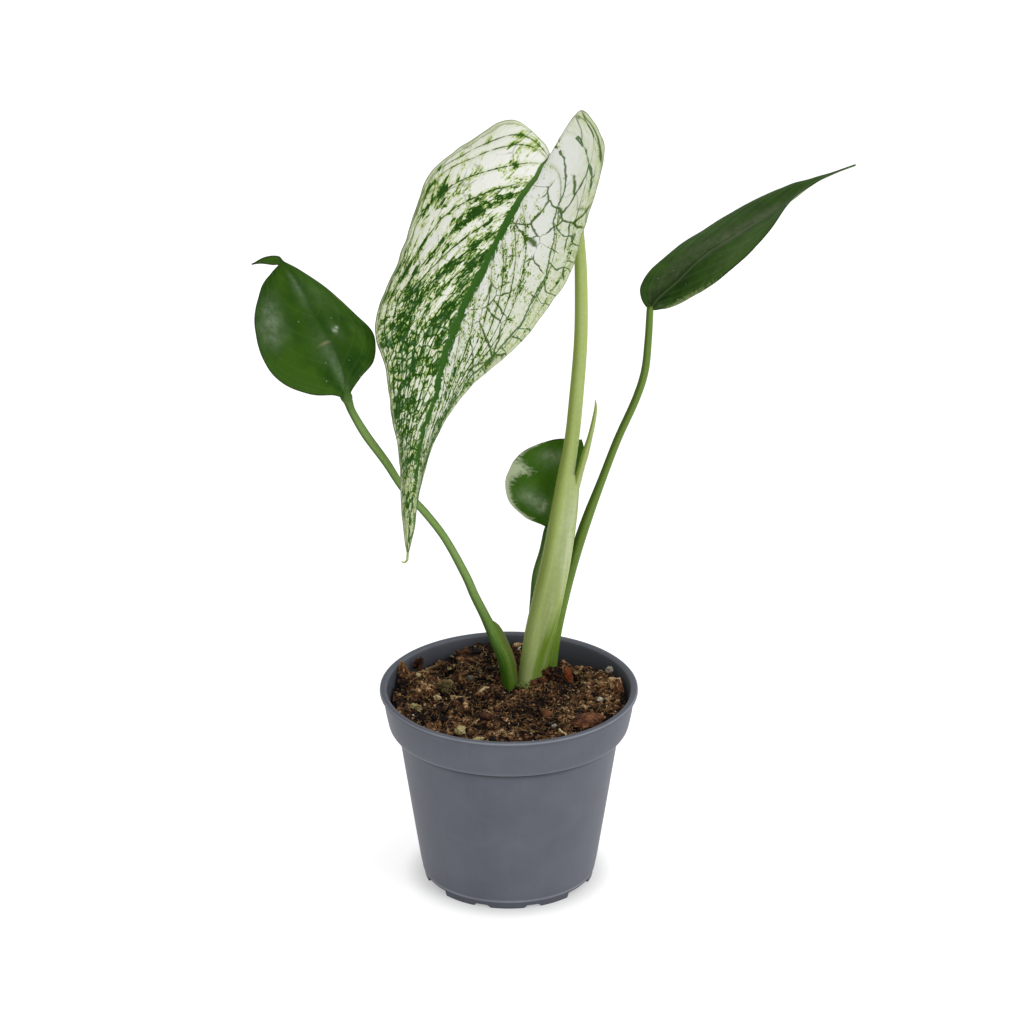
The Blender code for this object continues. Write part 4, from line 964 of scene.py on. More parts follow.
def make_pot(finish):
    """The pot: its profile turned about the upright axis. Inside a notch of the foot the lowest points rise
    to the notch's height, and four drain holes go through the floor.
    """
    turns = 288
    # Radius, height, and how much painted shade the ring gets: deep inside, under the lip and the collar, and
    # about the foot
    profile = np.array([
        (5.0, FLOOR_HEIGHT, 0.6), (9.3, FLOOR_HEIGHT, 0.6), (13.7, FLOOR_HEIGHT, 0.6),
        (17.6, FLOOR_HEIGHT, 0.6), (18.5, FLOOR_HEIGHT + 0.3, 0.6), (19.1, FLOOR_HEIGHT + 0.8, 0.6),
        (19.35, FLOOR_HEIGHT + 1.5, 0.6),
        (21.9, 20.0, 0.6), (24.4, 37.0, 0.6), (24.65, COLLAR_FOOT_HEIGHT - 0.6, 0.6), (26.6, 39.0, 0.7),
        (26.85, 39.6, 0.7), (27.6, 43.4, 0.5), (27.8, 44.7, 0.3), (28.0, 46.0, 0.18), (28.15, 46.9, 0.14),
        (28.3, 47.4, 0.1), (RIM_INNER_RADIUS + 0.05, 47.75, 0.0), (28.7, 47.93, 0.0), (29.2, POT_HEIGHT, 0.0),
        (29.6, 47.98, 0.0), (29.85, 47.88, 0.0), (29.97, 47.72, 0.0), (RIM_RADIUS, 47.5, 0.1),
        (RIM_RADIUS, 47.25, 0.2), (29.94, 47.1, 0.35), (29.75, 47.02, 0.4), (29.4, 46.95, 0.3),
        (COLLAR_TOP_RADIUS, 46.75, 0.1), (29.1, 46.0, 0.0), (28.75, 43.0, 0.0), (28.15, 40.0, 0.0),
        (28.02, 39.4, 0.0), (COLLAR_FOOT_RADIUS - 0.05, 38.9, 0.0), (27.6, 38.5, 0.1), (27.1, 38.28, 0.4),
        (26.5, COLLAR_FOOT_HEIGHT, 0.6), (26.1, 38.12, 0.8), (25.88, 37.9, 0.9), (BODY_TOP_RADIUS, 37.5, 0.7),
        (25.7, 37.0, 0.25), (25.55, 36.3, 0.0), (24.0, 26.0, 0.0), (22.35, 15.0, 0.0), (20.97, 6.0, 0.0),
        (20.7, 4.4, 0.0), (20.5, 3.4, 0.0), (20.35, 2.6, 0.0), (20.25, 2.1, 0.0), (20.15, 1.88, 0.0),
        (19.95, 1.6, 0.25), (19.8, 1.3, 0.2), (19.8, 0.3, 0.2), (19.7, 0.05, 0.3), (19.5, 0.0, 0.3),
        (18.9, 0.0, 0.3), (FOOT_RADIUS - FOOT_RING, 0.15, 0.5), (18.6, FOOT_RECESS - 0.2, 0.6),
        (18.4, FOOT_RECESS, 0.6), (14.0, FOOT_RECESS, 0.4), (9.0, FOOT_RECESS, 0.4),
        (PAD_RADIUS + 0.1, FOOT_RECESS, 0.4), (PAD_RADIUS, 0.2, 0.2), (PAD_RADIUS - 0.2, 0.0, 0.2),
        (2.5, 0.0, 0.2),
    ])
    angle = np.linspace(0, math.tau, turns, endpoint=False)[None]
    radius, height = profile[:, :1], profile[:, 1:2] + 0.0 * angle
    centres, widths, heights = np.array(NOTCHES).T
    centres = np.radians(centres - 90)
    away = np.abs((angle[0][:, None] - centres + math.pi) % math.tau - math.pi) * FOOT_RADIUS - widths / 2
    # A notch's sides slope over 0.4 mm
    raised = (heights * np.clip((0.2 - away) / 0.4, 0, 1)).max(axis=1)
    on_foot = (radius > FOOT_RADIUS - FOOT_RING - 0.2) & (profile[:, 1:2] < heights.max())
    height = np.where(on_foot, np.maximum(height, raised), height)
    rings = np.stack([radius * np.cos(angle), radius * np.sin(angle), height], -1)
    points, faces = skin(rings, (0, 0, FLOOR_HEIGHT), (0, 0, 0))
    # Painted highlights: a pale line along each listed edge
    edge = np.zeros(len(points))
    for r, z, reach, amount in POT_EDGE_HIGHLIGHTS:
        away = np.hypot(np.hypot(points[:, 0], points[:, 1]) - r, points[:, 2] - z)
        edge = np.maximum(edge, amount * np.exp(-((away / reach) ** 2)))
    # Painted shade for each ring, from the profile's third column
    painted_shade = np.append(np.repeat(profile[:, 2], turns), [0.6, 0.2])
    form = points, faces, {"edge": edge, "painted_shade": painted_shade}
    return make_piece("nursery_pot", form, finish, ["pot"], sharp=38.0)


def drill(pot):
    """Takes the drain holes out of the pot's floor: upright cylinders, evenly spaced on a circle."""
    sides = 24
    circle = np.linspace(0, math.tau, sides, endpoint=False)
    ends = (0.4, FLOOR_HEIGHT + 1.0)
    holes = []
    for k in range(DRAIN_COUNT):
        turn = math.tau * (k + 0.5) / DRAIN_COUNT
        middle = DRAIN_CIRCLE * math.cos(turn), DRAIN_CIRCLE * math.sin(turn)
        x, y = middle[0] + DRAIN_RADIUS * np.cos(circle), middle[1] + DRAIN_RADIUS * np.sin(circle)
        rings = np.stack([np.stack([x, y, np.full(sides, z)], -1) for z in ends])
        holes.append((*skin(rings, (*middle, ends[0]), (*middle, ends[1])), {}))
    points, faces, _ = joined(holes)
    mesh = bpy.data.meshes.new("drains")
    mesh.from_pydata(points * MM, [], [face for group in faces for face in group.tolist()])
    cutter = bpy.data.objects.new("drains", mesh)
    bpy.context.scene.collection.objects.link(cutter)
    cut = pot.modifiers.new("drains", "BOOLEAN")
    cut.object = cutter
    cut.solver = "EXACT"
    graph = bpy.context.evaluated_depsgraph_get()
    drilled = bpy.data.meshes.new_from_object(pot.evaluated_get(graph))
    pot.modifiers.clear()
    pot.data = drilled
    bpy.data.objects.remove(cutter)


def crumbly_height(x, y):
    """The soil's surface: soil_height, heaped a little at the front, with lumps of 5, 2.5, 1.2 and 0.6 mm,
    ridged crumbs of 2.2, 1.1 and 0.6 mm, and pits where the noise of 3 mm is high.
    """
    flat = np.stack([x, y, 0.0 * x], -1)
    rough = layered_noise(flat, 5.2, 40, 4)
    ridges = 1.2 - np.abs(noise(flat, 2.2, 51))
    ridges = ridges - 0.7 * np.abs(noise(flat, 1.1, 52)) - 0.4 * np.abs(noise(flat, 0.6, 53))
    pits = np.clip(noise(flat, 3.0, 54) - 0.25, 0, 1)
    front = 1.2 * np.exp(-((y + 26) ** 2) / 60)
    return soil_height(x, y) + front + 0.8 * rough + 0.9 * ridges - 2.2 * pits - 0.7


def make_soil(finish):
    """The soil: a disc of rings with its height from crumbly_height, closed by the sides and floor of the
    plug. It is painted darker where it lies low and lighter where it stands high: painted shade and light.
    """
    turns = 360
    angle = np.linspace(0, math.tau, turns, endpoint=False)[None]
    radius = np.concatenate([np.linspace(0.3, SOIL_EDGE - 0.25, 148), [SOIL_EDGE - 0.1, SOIL_EDGE]])[:, None]
    x, y = radius * np.cos(angle), radius * np.sin(angle)
    top = np.stack([x, y, crumbly_height(x, y)], -1)
    top[-1, :, 2] -= 1.2
    side = np.array([(26.4, 40.0), (24.2, 37.6), (18.9, 4.4), (17.5, 3.2)])
    out, up = side[:, :1], side[:, 1:]
    under = np.stack([out * np.cos(angle), out * np.sin(angle), up + 0.0 * angle], -1)
    rings = np.concatenate([top, under])
    points, faces = skin(rings, (0, 0, crumbly_height(np.zeros(1), np.zeros(1))[0]), (0, 0, 3.2))
    # Painted shade in the hollows and painted light on the humps, through the tone
    low = points[:, 2] - soil_height(points[:, 0], points[:, 1])
    tone = np.clip(0.3 * low, -0.4, 0.2)
    return make_piece("potting_soil", (points, faces, {"tone": tone}), finish, ["soil"], sharp=180.0)


def ball(level):
    """Points and faces of a unit icosphere: 20 faces at level 1, four times as many at each level on."""
    shape = bpy.data.meshes.new("ball")
    bm = bmesh.new()
    bmesh.ops.create_icosphere(bm, subdivisions=level, radius=1.0)
    bm.to_mesh(shape)
    bm.free()
    points = np.empty(len(shape.vertices) * 3)
    shape.vertices.foreach_get("co", points)
    corners = np.empty(len(shape.polygons) * 3, int)
    shape.polygons.foreach_get("vertices", corners)
    bpy.data.meshes.remove(shape)
    return points.reshape(-1, 3), corners.reshape(-1, 3)


def turned(points, turn, tilt):
    """Points tilted about x, then turned about z; one angle of each for every row of points."""
    x, y, z = np.moveaxis(points, -1, 0)
    y, z = y * np.cos(tilt) - z * np.sin(tilt), y * np.sin(tilt) + z * np.cos(tilt)
    x, y = x * np.cos(turn) - y * np.sin(turn), x * np.sin(turn) + y * np.cos(turn)
    return np.stack([x, y, z], -1)


def clear_places(draw, count, reach):
    """Seeded places on the soil, evenly spread over the disc."""
    radius, angle = reach * np.sqrt(draw.uniform(0, 1, count)), draw.uniform(0, math.tau, count)
    return radius * np.cos(angle), radius * np.sin(angle)


def scatter(name, finish, count, sizes, flatness, seed, tones, level=1, lift=0.2, longest=1.5):
    """Lumps strewn on the soil: unit spheres dented by noise, radius 1 + 0.55 n, scaled, tilted, turned and
    set on the surface. A lump's size is a (b / a)^(u^1.8) between sizes a and b with u drawn from 0 to 1, so
    that most are small. Flatness and tones are ranges to draw from too.
    """
    draw = np.random.default_rng(seed)
    shape, corners = ball(level)
    x, y = clear_places(draw, count, SOIL_EDGE - 0.6)
    size = sizes[0] * (sizes[1] / sizes[0]) ** (draw.uniform(0, 1, count) ** 1.8)
    stretch = [draw.uniform(*ends, count) for ends in ((0.8, longest), (0.6, 1.0), flatness)]
    stretch = np.stack(stretch, -1)
    dents = layered_noise(shape[None] + 9.0 * np.arange(count)[:, None, None], 0.9, seed, 2)
    lumps = shape[None] * (1 + 0.55 * dents)[..., None]
    lumps = lumps * stretch[:, None] * size[:, None, None]
    lumps = turned(lumps, draw.uniform(0, math.tau, (count, 1)), draw.uniform(-0.7, 0.7, (count, 1)))
    reach = np.hypot(x, y) + size
    shrink = np.minimum(1, (SOIL_EDGE - 0.3) / reach)
    x, y = x * shrink, y * shrink
    lumps += np.stack([x, y, crumbly_height(x, y) + lift * size], -1)[:, None]
    faces = corners[None] + (len(shape) * np.arange(count))[:, None, None]
    tone = draw.uniform(*tones, count) + 0.25 * noise(np.stack([x, y, 0 * x], -1), 6.0, 71)
    tone = np.repeat(tone, len(shape))
    form = lumps.reshape(-1, 3), [faces.reshape(-1, 3)], {"tone": tone}
    return make_piece(name, form, finish, sharp=60.0)


def strew_fibres(name, finish, count, sizes, radii, seed):
    """Fibres strewn on the soil: tubes of seven rings and four sides on arcs with a seeded bend. A fibre
    heads a + b s + 0.5 sin(7 s + a), with s from -1/2 to 1/2 along it, lies on the surface, lifted by a
    seeded share of 0.4 + 2 |s|, and its radius is R (1 - 0.6 |2 s|^3).
    """
    draw = np.random.default_rng(seed)
    steps, sides = 7, 4
    x, y = clear_places(draw, count, SOIL_EDGE - 2.5)
    length = draw.uniform(*sizes, count)
    turn, bend = draw.uniform(0, math.tau, count), draw.normal(0, 1.1, count)
    lift = draw.uniform(0, 0.35, count)
    share = np.linspace(-0.5, 0.5, steps)
    heading = turn[:, None] + bend[:, None] * share + 0.5 * np.sin(7 * share + turn[:, None])
    step = length[:, None] / steps
    path_x = x[:, None] + np.cumsum(np.cos(heading) * step, 1) - 0.5 * np.cos(turn)[:, None] * length[:, None]
    path_y = y[:, None] + np.cumsum(np.sin(heading) * step, 1) - 0.5 * np.sin(turn)[:, None] * length[:, None]
    reach = np.hypot(path_x, path_y)
    squeeze = np.minimum(1, (SOIL_EDGE - 0.4) / np.maximum(reach, 1e-6))
    path_x, path_y = path_x * squeeze, path_y * squeeze
    radius = draw.uniform(*radii, count)
    path_z = crumbly_height(path_x, path_y) + radius[:, None] + lift[:, None] * (0.4 + 2 * np.abs(share))
    path = np.stack([path_x, path_y, path_z], -1)
    ahead = unit(np.gradient(path, axis=1))
    across = unit(np.cross(ahead, [0.0, 0.0, 1.0]))
    up = np.cross(across, ahead)
    angle = np.linspace(0, math.tau, sides, endpoint=False)
    ring = across[:, :, None] * np.cos(angle)[:, None] + up[:, :, None] * np.sin(angle)[:, None]
    taper = radius[:, None] * (1 - 0.6 * np.abs(2 * share) ** 3)
    rings = path[:, :, None] + ring * taper[..., None, None]
    tones = draw.uniform(-0.3, 0.35, count)
    parts = [
        (*skin(rings[k], path[k, 0], path[k, -1]), {"tone": np.full(steps * sides + 2, tones[k])})
        for k in range(count)
    ]
    points, faces, marks = joined(parts)
    faces = [np.concatenate(faces[0::2]), np.concatenate(faces[1::2])]
    return make_piece(name, (points, faces, marks), finish, sharp=180.0)


def lump(name, node, place, size, turn, tilt, finish, slot, rough, sink, tone, seed):
    """One lump on the soil: a sphere of three half sizes, dented by layered noise and by creases, tilted and
    turned. The creases are the noise's zero lines, squashed along z so that they run round the lump.
    """
    shape, corners = ball(5 if max(size) > 1.6 else 4)
    creases = np.abs(noise(shape * (1.0, 1.0, 2.2) + seed, 0.45, seed + 3))
    swell = 1 + rough * layered_noise(shape + seed, 0.9, seed, 5) + 0.6 * rough * (creases - 0.3)
    points = turned(shape * swell[:, None] * np.array(size), math.radians(turn), math.radians(tilt))
    x, y = place
    base = crumbly_height(np.array([x]), np.array([y]))[0]
    points += np.array([x, y, base - points[:, 2].min() * (1 - sink)])
    # Painted shade and light: the tone darkens in the dents and creases and lightens on the bulges
    tones = {"tone": tone + 0.35 * (swell - 1) / rough * 0.3}
    return make_piece(name, (points, [corners], tones), finish, [node] if node else (), sharp=60.0)


# ---------------------------------------------------------------- the plant

LARGE = (LARGE_MIDRIB, LARGE_LEFT, LARGE_RIGHT)
LARGE_HOOK = [  # centre line and radius of the tip that drips, curled up
    (-22.9, -10.95, 87.2, 0.32), (-23.0, -11.0, 86.2, 0.3), (-23.1, -11.05, 85.3, 0.27),
    (-23.5, -11.15, 84.8, 0.24), (-24.0, -11.2, 84.75, 0.2), (-24.4, -11.2, 85.05, 0.1),
]
# name, CAD node, curves, way it faces, bow, stations and rows across, marks, relief, finish, ruffle
leaf(
    "variegated_leaf", "large_leaf", LARGE, FORWARD, 0.1, (370, 57), large_marks, (0.1, 0.22, 0.4, 0.22),
    variegated_finish(), 0.4,
)
glossy_green = green_leaf_finish(
    "green_monstera_leaf", ("#1D400C", "#395C14", "#76876A", "#4A6C2E"), 0.12, dust=0.45
)
right_green = green_leaf_finish(
    "dusky_monstera_leaf", ("#1B330B", "#375A18", "#6A7058", "#566E42"), 0.5, 0.8, 0.35, "#7F8F5C"
)
small_green = green_leaf_finish(
    "small_monstera_leaf", ("#2C5009", "#426A16", "#8C9C7C", "#4A6E24"), dust=0.0
)
# Soft patches of the green leaves, as plain_marks takes them: painted sheen, painted light and shade, cream,
# dried drops and scars
LEFT_GLOW = [
    (0.49, -0.72, 0.05, 0.2, 0.7, "bloom"), (0.44, -0.7, 0.03, 0.17, 0.25, "bloom"),
    (0.565, -0.03, 0.06, 0.09, 0.45, "bloom"), (0.25, -0.08, 0.07, 0.1, 0.45, "bloom"),
    (0.35, -0.1, 0.05, 0.16, 0.2, "bloom"), (0.54, 0.35, 0.06, 0.3, 0.12, "bloom"),
    (0.41, 0.28, 0.03, 0.12, 0.2, "bloom"), (0.17, 0.25, 0.05, 0.25, 0.3, "bloom"),
    (0.408, 0.25, 0.006, 0.03, 0.9, "white"), (0.42, 0.31, 0.004, 0.025, 0.9, "white"),
    (0.366, -0.06, 0.003, 0.09, 0.8, "scar"), (0.548, 0.96, 0.012, 0.03, 0.9, "scar"),
    (0.35, -0.7, 0.09, 0.35, 0.45, "sunny"), (0.25, -0.75, 0.1, 0.3, 0.45, "sunny"),
    (0.6, -0.4, 0.06, 0.2, 0.3, "sunny"), (0.56, 0.5, 0.06, 0.3, 0.3, "sunny"),
    (0.29, 0.6, 0.09, 0.3, -0.5, "sunny"), (0.38, 0.75, 0.05, 0.25, 0.5, "sunny"),
    (0.25, -0.35, 0.06, 0.12, -0.4, "sunny"),
]
RIGHT_GLOW = [
    (0.4, -0.35, 0.2, 0.3, 0.28, "bloom"), (0.6, -0.05, 0.14, 0.16, 0.6, "bloom"),
    (0.55, 0.65, 0.09, 0.3, 0.25, "bloom"), (0.94, 0.0, 0.05, 0.8, 0.5, "bloom"),
    (0.33, 1.0, 0.13, 0.17, 1.0, "pale"), (0.22, 0.55, 0.04, 0.25, 0.2, "bloom"),
    (0.58, 0.7, 0.1, 0.4, 0.8, "sunny"), (0.5, -0.75, 0.2, 0.25, 0.4, "sunny"),
    (0.3, 0.1, 0.14, 0.5, -0.5, "sunny"), (0.82, 0.0, 0.09, 0.8, 0.7, "sunny"),
]
SMALL_GLOW = [
    (0.6, -0.93, 0.07, 0.13, 0.85, "pale"), (0.615, -0.72, 0.035, 0.18, 0.6, "pale"),
    (0.29, -0.85, 0.05, 0.33, 0.6, "pale"), (0.36, -1.0, 0.13, 0.12, 1.1, "pale"),
    (0.49, -1.0, 0.07, 0.07, 0.8, "pale"), (0.76, -0.97, 0.1, 0.05, 0.6, "pale"),
    (0.43, -0.23, 0.05, 0.05, 0.6, "pale"), (0.46, -0.54, 0.06, 0.2, 0.5, "bloom"),
    (0.42, -0.3, 0.06, 0.14, 0.6, "bloom"), (0.74, -0.45, 0.06, 0.25, 0.4, "bloom"),
    (0.748, -0.48, 0.006, 0.025, 0.6, "scar"),
]
LEFT = (LEFT_MIDRIB, LEFT_LEFT, LEFT_RIGHT)
RIGHT = (RIGHT_MIDRIB, RIGHT_BACK, RIGHT_FRONT)
SMALL = (SMALL_MIDRIB, SMALL_LEFT, SMALL_RIGHT)
leaf(
    "left_green_leaf", "left_leaf", LEFT, FORWARD, 0.12, (200, 30), plain_marks(LEFT_GLOW),
    (0.05, 0.1, 0.12, 0.22), glossy_green,
)
leaf(
    "right_green_leaf", "right_leaf", RIGHT, UPWARD, 0.06, (200, 26), plain_marks(RIGHT_GLOW),
    (0.05, 0.1, 0.45, 0.22), right_green,
)
leaf(
    "small_green_leaf", "small_leaf", SMALL, FORWARD, 0.12, (130, 22), plain_marks(SMALL_GLOW),
    (0.05, 0.1, 0.25, 0.2), small_green, 0.25,
)

# Stalk colours: shaded left side, lit right side, foot, strip and streaks
pale_stalk = stalk_finish(
    "pale_monstera_petiole", ("#7F9040", "#ACBD72", "#B0C27A", "#76962E", "#E2E8CC"), 0.32, band=0.42
)
deep_stalk = stalk_finish(
    "green_monstera_petiole", ("#3C5A1C", "#7E9C55", "#426E12", "#64842C", "#A9BC8A"), 0.35, 0.7,
    neck_share=0.9,
)
right_stalk = stalk_finish(
    "olive_monstera_petiole", ("#435C18", "#6A843A", "#8BAA44", "#6E8F30", "#9FB47A"), 0.4
)
# Each stalk runs a little way into its blade; the left one flares into its midrib
LEFT_NECK = [
    (-36.3, -1.3, 120.1, 1.05), (-36.8, -1.75, 121.7, 1.4), (-37.1, -1.9, 123.2, 0.9),
    (-37.4, -1.6, 124.8, 0.1),
]
make_piece("leaf_drip_tip", tube(LARGE_HOOK, 60, 20, 2), pale_stalk)
form = sheathed(LARGE_STALK + [(9.3, 16.2, 172.4, 0.75)], LARGE_SHEATH, 300, 64, 3)
make_piece("large_petiole", form, pale_stalk, ["large_leaf_petiole"])
form = tube([(15.6, 15.4, 92.0, 0.9)] + NEW_LEAF, 100, 28, 5, ribs=0.08, tip=1.5)
make_piece("furled_leaf", form, pale_stalk, ["furled_new_leaf"])
form = sheathed(LEFT_STALK[:-1] + LEFT_NECK, LEFT_SHEATH, 240, 48, 6, flat_end=0.65)
make_piece("left_petiole", form, deep_stalk, ["left_leaf_petiole"])
form = tube(RIGHT_STALK + [(32.1, 8.0, 139.6, 0.75)], 220, 32, 8)
make_piece("right_petiole", form, right_stalk, ["right_leaf_petiole"])
form = tube(SMALL_STALK + [(9.2, 21.4, 79.2, 0.6)], 120, 28, 9)
make_piece("small_petiole", form, deep_stalk, ["small_leaf_petiole"])

pot = make_pot(pot_finish())
drill(pot)
PEAT = [
    (0.0, "#0A0503"), (0.26, "#1D1008"), (0.42, "#432918"), (0.6, "#6B492E"), (0.78, "#946F49"),
    (1.0, "#CFB187"),
]
BARK_TONES = [(0.0, "#1C0E09"), (0.35, "#3F2417"), (0.6, "#6E4429"), (0.8, "#946546"), (1.0, "#B98C68")]
RED_BARK = [(0.0, "#240D06"), (0.4, "#5A2913"), (0.7, "#8A4522"), (1.0, "#B0693F")]
STRAW = [(0.0, "#3A2A1B"), (0.4, "#6E5535"), (0.7, "#97794D"), (1.0, "#CDB68A")]
DARK_COIR = [(0.0, "#140A05"), (0.4, "#452A17"), (0.7, "#7A5431"), (1.0, "#A88252")]
OLIVE = [(0.0, "#1F170C"), (0.35, "#54452A"), (0.65, "#85754A"), (1.0, "#C6B987")]
GLASS = [(0.0, "#57503F"), (0.35, "#938A7A"), (0.7, "#BDB5A3"), (1.0, "#E9E4D8")]
STUB = [(0.0, "#27290F"), (0.4, "#5C6A31"), (0.7, "#8A9A57"), (1.0, "#B9C08A")]
peat = earth_finish("peat_and_coir", PEAT, 260.0)
bark = earth_finish("pine_bark", BARK_TONES, 420.0, 0.85)
red_bark = earth_finish("red_pine_bark", RED_BARK, 420.0, 0.85)
straw = earth_finish("coir_fibre", STRAW, 300.0, 0.8)
coir = earth_finish("dark_coir_fibre", DARK_COIR, 300.0, 0.85)
olive = earth_finish("mossy_bark", OLIVE, 520.0, 0.9)
glass = earth_finish("perlite_grain", GLASS, 700.0, 0.9)
stub = earth_finish("old_leaf_stub", STUB, 420.0, 0.7)
root_skin = earth_finish("monstera_root", STRAW, 120.0, 0.7)
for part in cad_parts["crown_and_roots"].material_slots:
    part.material = root_skin
make_soil(peat)
# name, finish, count, sizes in mm, flatness, seed, tones
scatter("soil_crumbs", peat, 3800, (0.12, 0.42), (0.4, 0.8), 11, (-0.4, 0.2), longest=2.6)
scatter("soil_clods", peat, 96, (0.5, 1.3), (0.5, 0.8), 15, (-0.3, 0.05), level=2, lift=0.0)
scatter("soil_grit", bark, 330, (0.2, 0.75), (0.3, 0.6), 12, (-0.4, 0.1))
scatter("soil_flakes", straw, 260, (0.2, 0.8), (0.12, 0.3), 13, (-0.45, 0.15))
scatter("soil_moss", olive, 160, (0.25, 0.9), (0.3, 0.6), 16, (-0.35, 0.1))
scatter("pale_specks", glass, 130, (0.1, 0.28), (0.5, 0.9), 18, (-0.3, 0.1), lift=0.5)
# name, finish, count, lengths and radii in mm, seed
strew_fibres("coir_fibres", straw, 520, (0.8, 3.6), (0.03, 0.06), 14)
strew_fibres("dark_fibres", coir, 1700, (1.0, 4.2), (0.035, 0.08), 17)
BITS = [
    # name, CAD node, place, half sizes, turn, tilt, finish, slot, roughness of its form, sink, tone
    ("bark_upright", "bark_chip_1", (13.9, 10.8), (1.15, 0.7, 1.9), 12, 8, red_bark, "bark", 0.3, 0.15, 0.05),
    ("bark_flat", "bark_chip_2", (18.0, -10.6), (3.6, 2.3, 0.75), 12, 16, bark, "bark", 0.35, 0.1, 0.0),
    ("bark_by_wall", "bark_chip_3", (25.2, 2.2), (0.7, 2.0, 1.6), -4, 0, bark, "bark", 0.4, 0.1, 0.0),
    ("bark_purple", "bark_chip_4", (-5.5, -9.0), (2.1, 1.4, 0.9), -12, 5, bark, "bark", 0.4, 0.3, -0.15),
    ("bark_olive", "bark_chip_5", (-14.9, 6.5), (2.0, 1.7, 1.4), 30, 10, olive, "bark", 0.5, 0.2, -0.05),
    ("bark_back_left", "bark_chip_6", (-21.3, 14.6), (1.0, 0.8, 1.6), 40, 10, bark, "bark", 0.6, 0.2, -0.15),
    ("perlite_right", "perlite_1", (21.2, -1.6), (0.62, 0.55, 0.55), 0, 0, glass, "perlite", 0.35, 0.2, 0.1),
    (
        "perlite_back_right", "perlite_2", (23.6, 11.4), (0.8, 0.7, 0.8), 0, 0, glass, "perlite", 0.4, 0.2,
        -0.1,
    ),
    ("perlite_back", "perlite_3", (2.7, 24.0), (0.5, 0.5, 0.45), 0, 0, glass, "perlite", 0.35, 0.2, 0.2),
    ("perlite_grey", "perlite_4", (-9.1, 11.0), (0.9, 0.75, 0.8), 20, 0, glass, "perlite", 0.4, 0.2, -0.25),
    ("grey_stone", "perlite_5", (10.4, -12.4), (0.5, 0.4, 0.4), 0, 0, glass, "perlite", 0.35, 0.2, 0.0),
    ("peach_chip", "perlite_6", (-16.7, 2.9), (0.7, 0.9, 0.5), 30, 0, straw, "perlite", 0.4, 0.2, 0.25),
    ("lump_orange", None, (6.8, 8.6), (1.6, 1.1, 1.3), 10, 0, bark, "bark", 0.55, 0.2, 0.0),
    ("clod_by_stalk", None, (10.6, 9.0), (2.2, 1.3, 1.5), -15, 0, peat, "soil", 0.6, 0.3, -0.1),
    ("clod_wall", None, (-24.6, 9.6), (1.0, 1.5, 1.3), 10, 0, peat, "soil", 0.7, 0.3, 0.0),
    ("clod_back", None, (-9.0, 21.0), (3.0, 2.0, 1.2), -8, 0, peat, "soil", 0.6, 0.4, -0.1),
    ("pale_front", None, (-11.2, -16.8), (1.4, 1.0, 0.8), 60, 0, olive, "bark", 0.5, 0.25, 0.2),
    ("pale_front_low", None, (-7.3, -20.1), (1.2, 0.6, 0.6), 10, 0, olive, "bark", 0.5, 0.25, 0.2),
    ("olive_left", None, (-21.5, -2.5), (1.0, 1.4, 0.7), 20, 0, olive, "bark", 0.5, 0.25, 0.1),
    ("bark_right", None, (8.5, -6.0), (1.5, 0.9, 0.8), -20, 0, bark, "bark", 0.5, 0.3, -0.05),
    ("white_dot_left", None, (-16.6, -6.1), (0.4, 0.4, 0.35), 0, 0, glass, "perlite", 0.3, 0.2, 0.15),
    ("white_dot_front", None, (-22.2, -5.6), (0.4, 0.35, 0.35), 0, 0, glass, "perlite", 0.3, 0.2, 0.1),
    ("leaf_stub", None, (3.3, 6.6), (1.5, 0.8, 0.9), -10, 0, stub, "root", 0.4, 0.1, 0.0),
]
FIRST_SEED = 60
for number, bit in enumerate(BITS):
    lump(*bit, FIRST_SEED + number)


def lying_stick(name, node, ends, radius, lift, finish, tone):
    """A stick or rootlet laid on the soil: a tube on a straight line with a sideways wave 0.18 sin(7 s), s
    from 0 to 1 along it, halfway between the surface and its highest point, and radius R (1 - 0.35 s^2).
    """
    share = np.linspace(0, 1, 12)
    (x0, y0), (x1, y1) = ends
    x = x0 + (x1 - x0) * share + 0.18 * np.sin(7 * share) * (y1 - y0) / 4
    y = y0 + (y1 - y0) * share - 0.18 * np.sin(7 * share) * (x1 - x0) / 4
    z = crumbly_height(x, y).max() * 0.5 + crumbly_height(x, y) * 0.5 + radius + lift * share
    rows = np.stack([x, y, z, radius * (1 - 0.35 * share**2)], -1)
    points, faces, _ = tube(rows, 40, 14, len(name), ribs=0.15)
    make_piece(name, (points, faces, {"tone": np.full(len(points), tone)}), finish, [node])


lying_stick("pale_stick", "fibre_1", ((-6.9, 4.2), (-4.7, 6.6)), 0.28, 0.2, straw, 0.3)
lying_stick("back_stick", "fibre_2", ((-19.6, 15.4), (-15.1, 17.6)), 0.33, 1.2, straw, -0.05)
lying_stick("rootlet", "fibre_3", ((11.6, -14.2), (13.3, -18.6)), 0.26, 0.3, straw, 0.3)

# Camera and light, in metres: the camera looks at AIM from the front, tilted down
AIM = (0.00073, 0.0, 0.0923)
DISTANCE = 1.2
TILT = math.radians(24.1)
camera = bpy.data.cameras.new("view")
camera.lens = 184.36
camera.sensor_width = 36.0
camera.clip_end = 20.0
watcher = bpy.data.objects.new("view", camera)
watcher.location = (AIM[0], -DISTANCE * math.cos(TILT), AIM[2] + DISTANCE * math.sin(TILT))
watcher.rotation_euler = (math.pi / 2 - TILT, 0.0, 0.0)
bpy.context.scene.collection.objects.link(watcher)
bpy.context.scene.camera = watcher


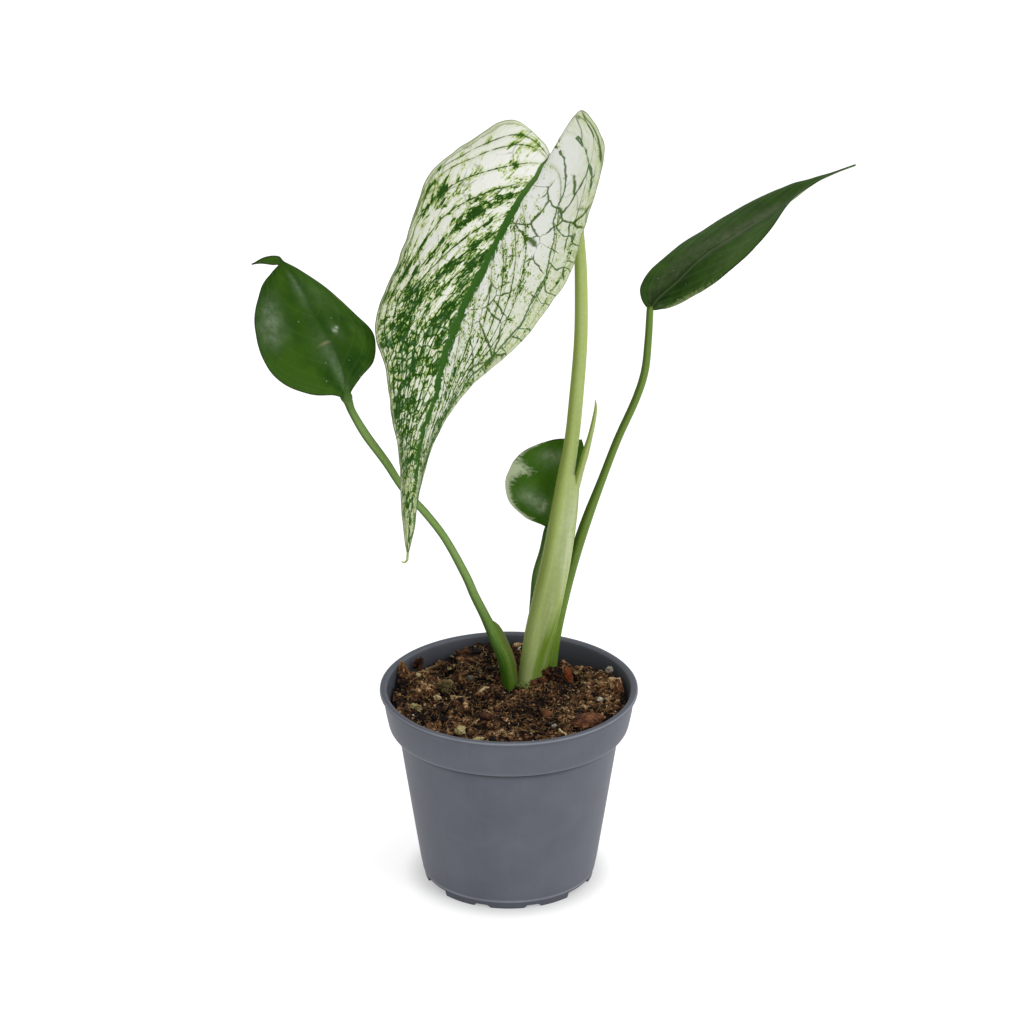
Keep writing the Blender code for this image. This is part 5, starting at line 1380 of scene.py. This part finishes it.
def make_floor():
    """A plain white sheet of paper, 4 m wide. The eye gets an even matte white. The paper glows with light of
    its own, 0.7 from 26 mm out so that it stays white, and only 0.4 under and close round the pot, which
    adds a painted shadow round the pot's foot to the pot's own shadow.
    """
    mesh = bpy.data.meshes.new("floor")
    mesh.from_pydata([(-2, -2, 0), (2, -2, 0), (2, 2, 0), (-2, 2, 0)], [], [(0, 1, 2, 3)])
    white = (1.0, 1.0, 1.0, 1.0)
    finish, node = new_finish("white_paper", Roughness=0.9, Specular_IOR_Level=0.2, Emission_Color=white)
    place = node("TexCoord", out=3)
    pulp = node("TexNoise", place, Scale=40.0, Detail=2.0)
    colour = node("Mix RGBA", pulp, "#C6C6C6", "#CACACA")
    away = node("VectorMath LENGTH", place)
    # Painted shadow: the glow drops from 0.7 to 0.4 close round the pot
    glow = node("MapRange SMOOTHSTEP", away, 0.019, 0.026, 0.4, 0.7)
    mesh.materials.append(finished(finish, Base_Color=colour, Emission_Strength=glow))
    floor = bpy.data.objects.new("floor", mesh)
    bpy.context.scene.collection.objects.link(floor)


make_floor()


def softbox(name, place, aim, size, power):
    """A round area lamp at a place, turned towards its aim; size in metres and power in watts."""
    lamp = bpy.data.lights.new(name, "AREA")
    lamp.shape = "DISK"
    lamp.size = size
    lamp.energy = power
    holder = bpy.data.objects.new(name, lamp)
    holder.location = place
    holder.rotation_euler = (Vector(aim) - Vector(place)).to_track_quat("-Z", "Y").to_euler()
    bpy.context.scene.collection.objects.link(holder)


softbox("key", (0.9, -0.9, 1.1), (0.0, 0.0, 0.1), 0.6, 4.5)
softbox("top", (0.1, 0.1, 1.5), (0.0, 0.0, 0.1), 0.9, 3.0)

# A white studio, brighter on the right than on the left
world = bpy.data.worlds.new("studio")
bpy.context.scene.world = world
world.use_nodes = True
sky = world.node_tree
heading = add(sky, "SeparateXYZ", add(sky, "TexCoord"))
level = add(sky, "MapRange", heading, -1.0, 1.0, 0.4, 0.85)
background = sky.nodes["Background"].inputs
sky.links.new(level, background["Strength"])
background["Color"].default_value = (1.0, 1.0, 1.0, 1.0)
bpy.context.scene.view_settings.view_transform = "Standard"

bpy.context.view_layer.update()
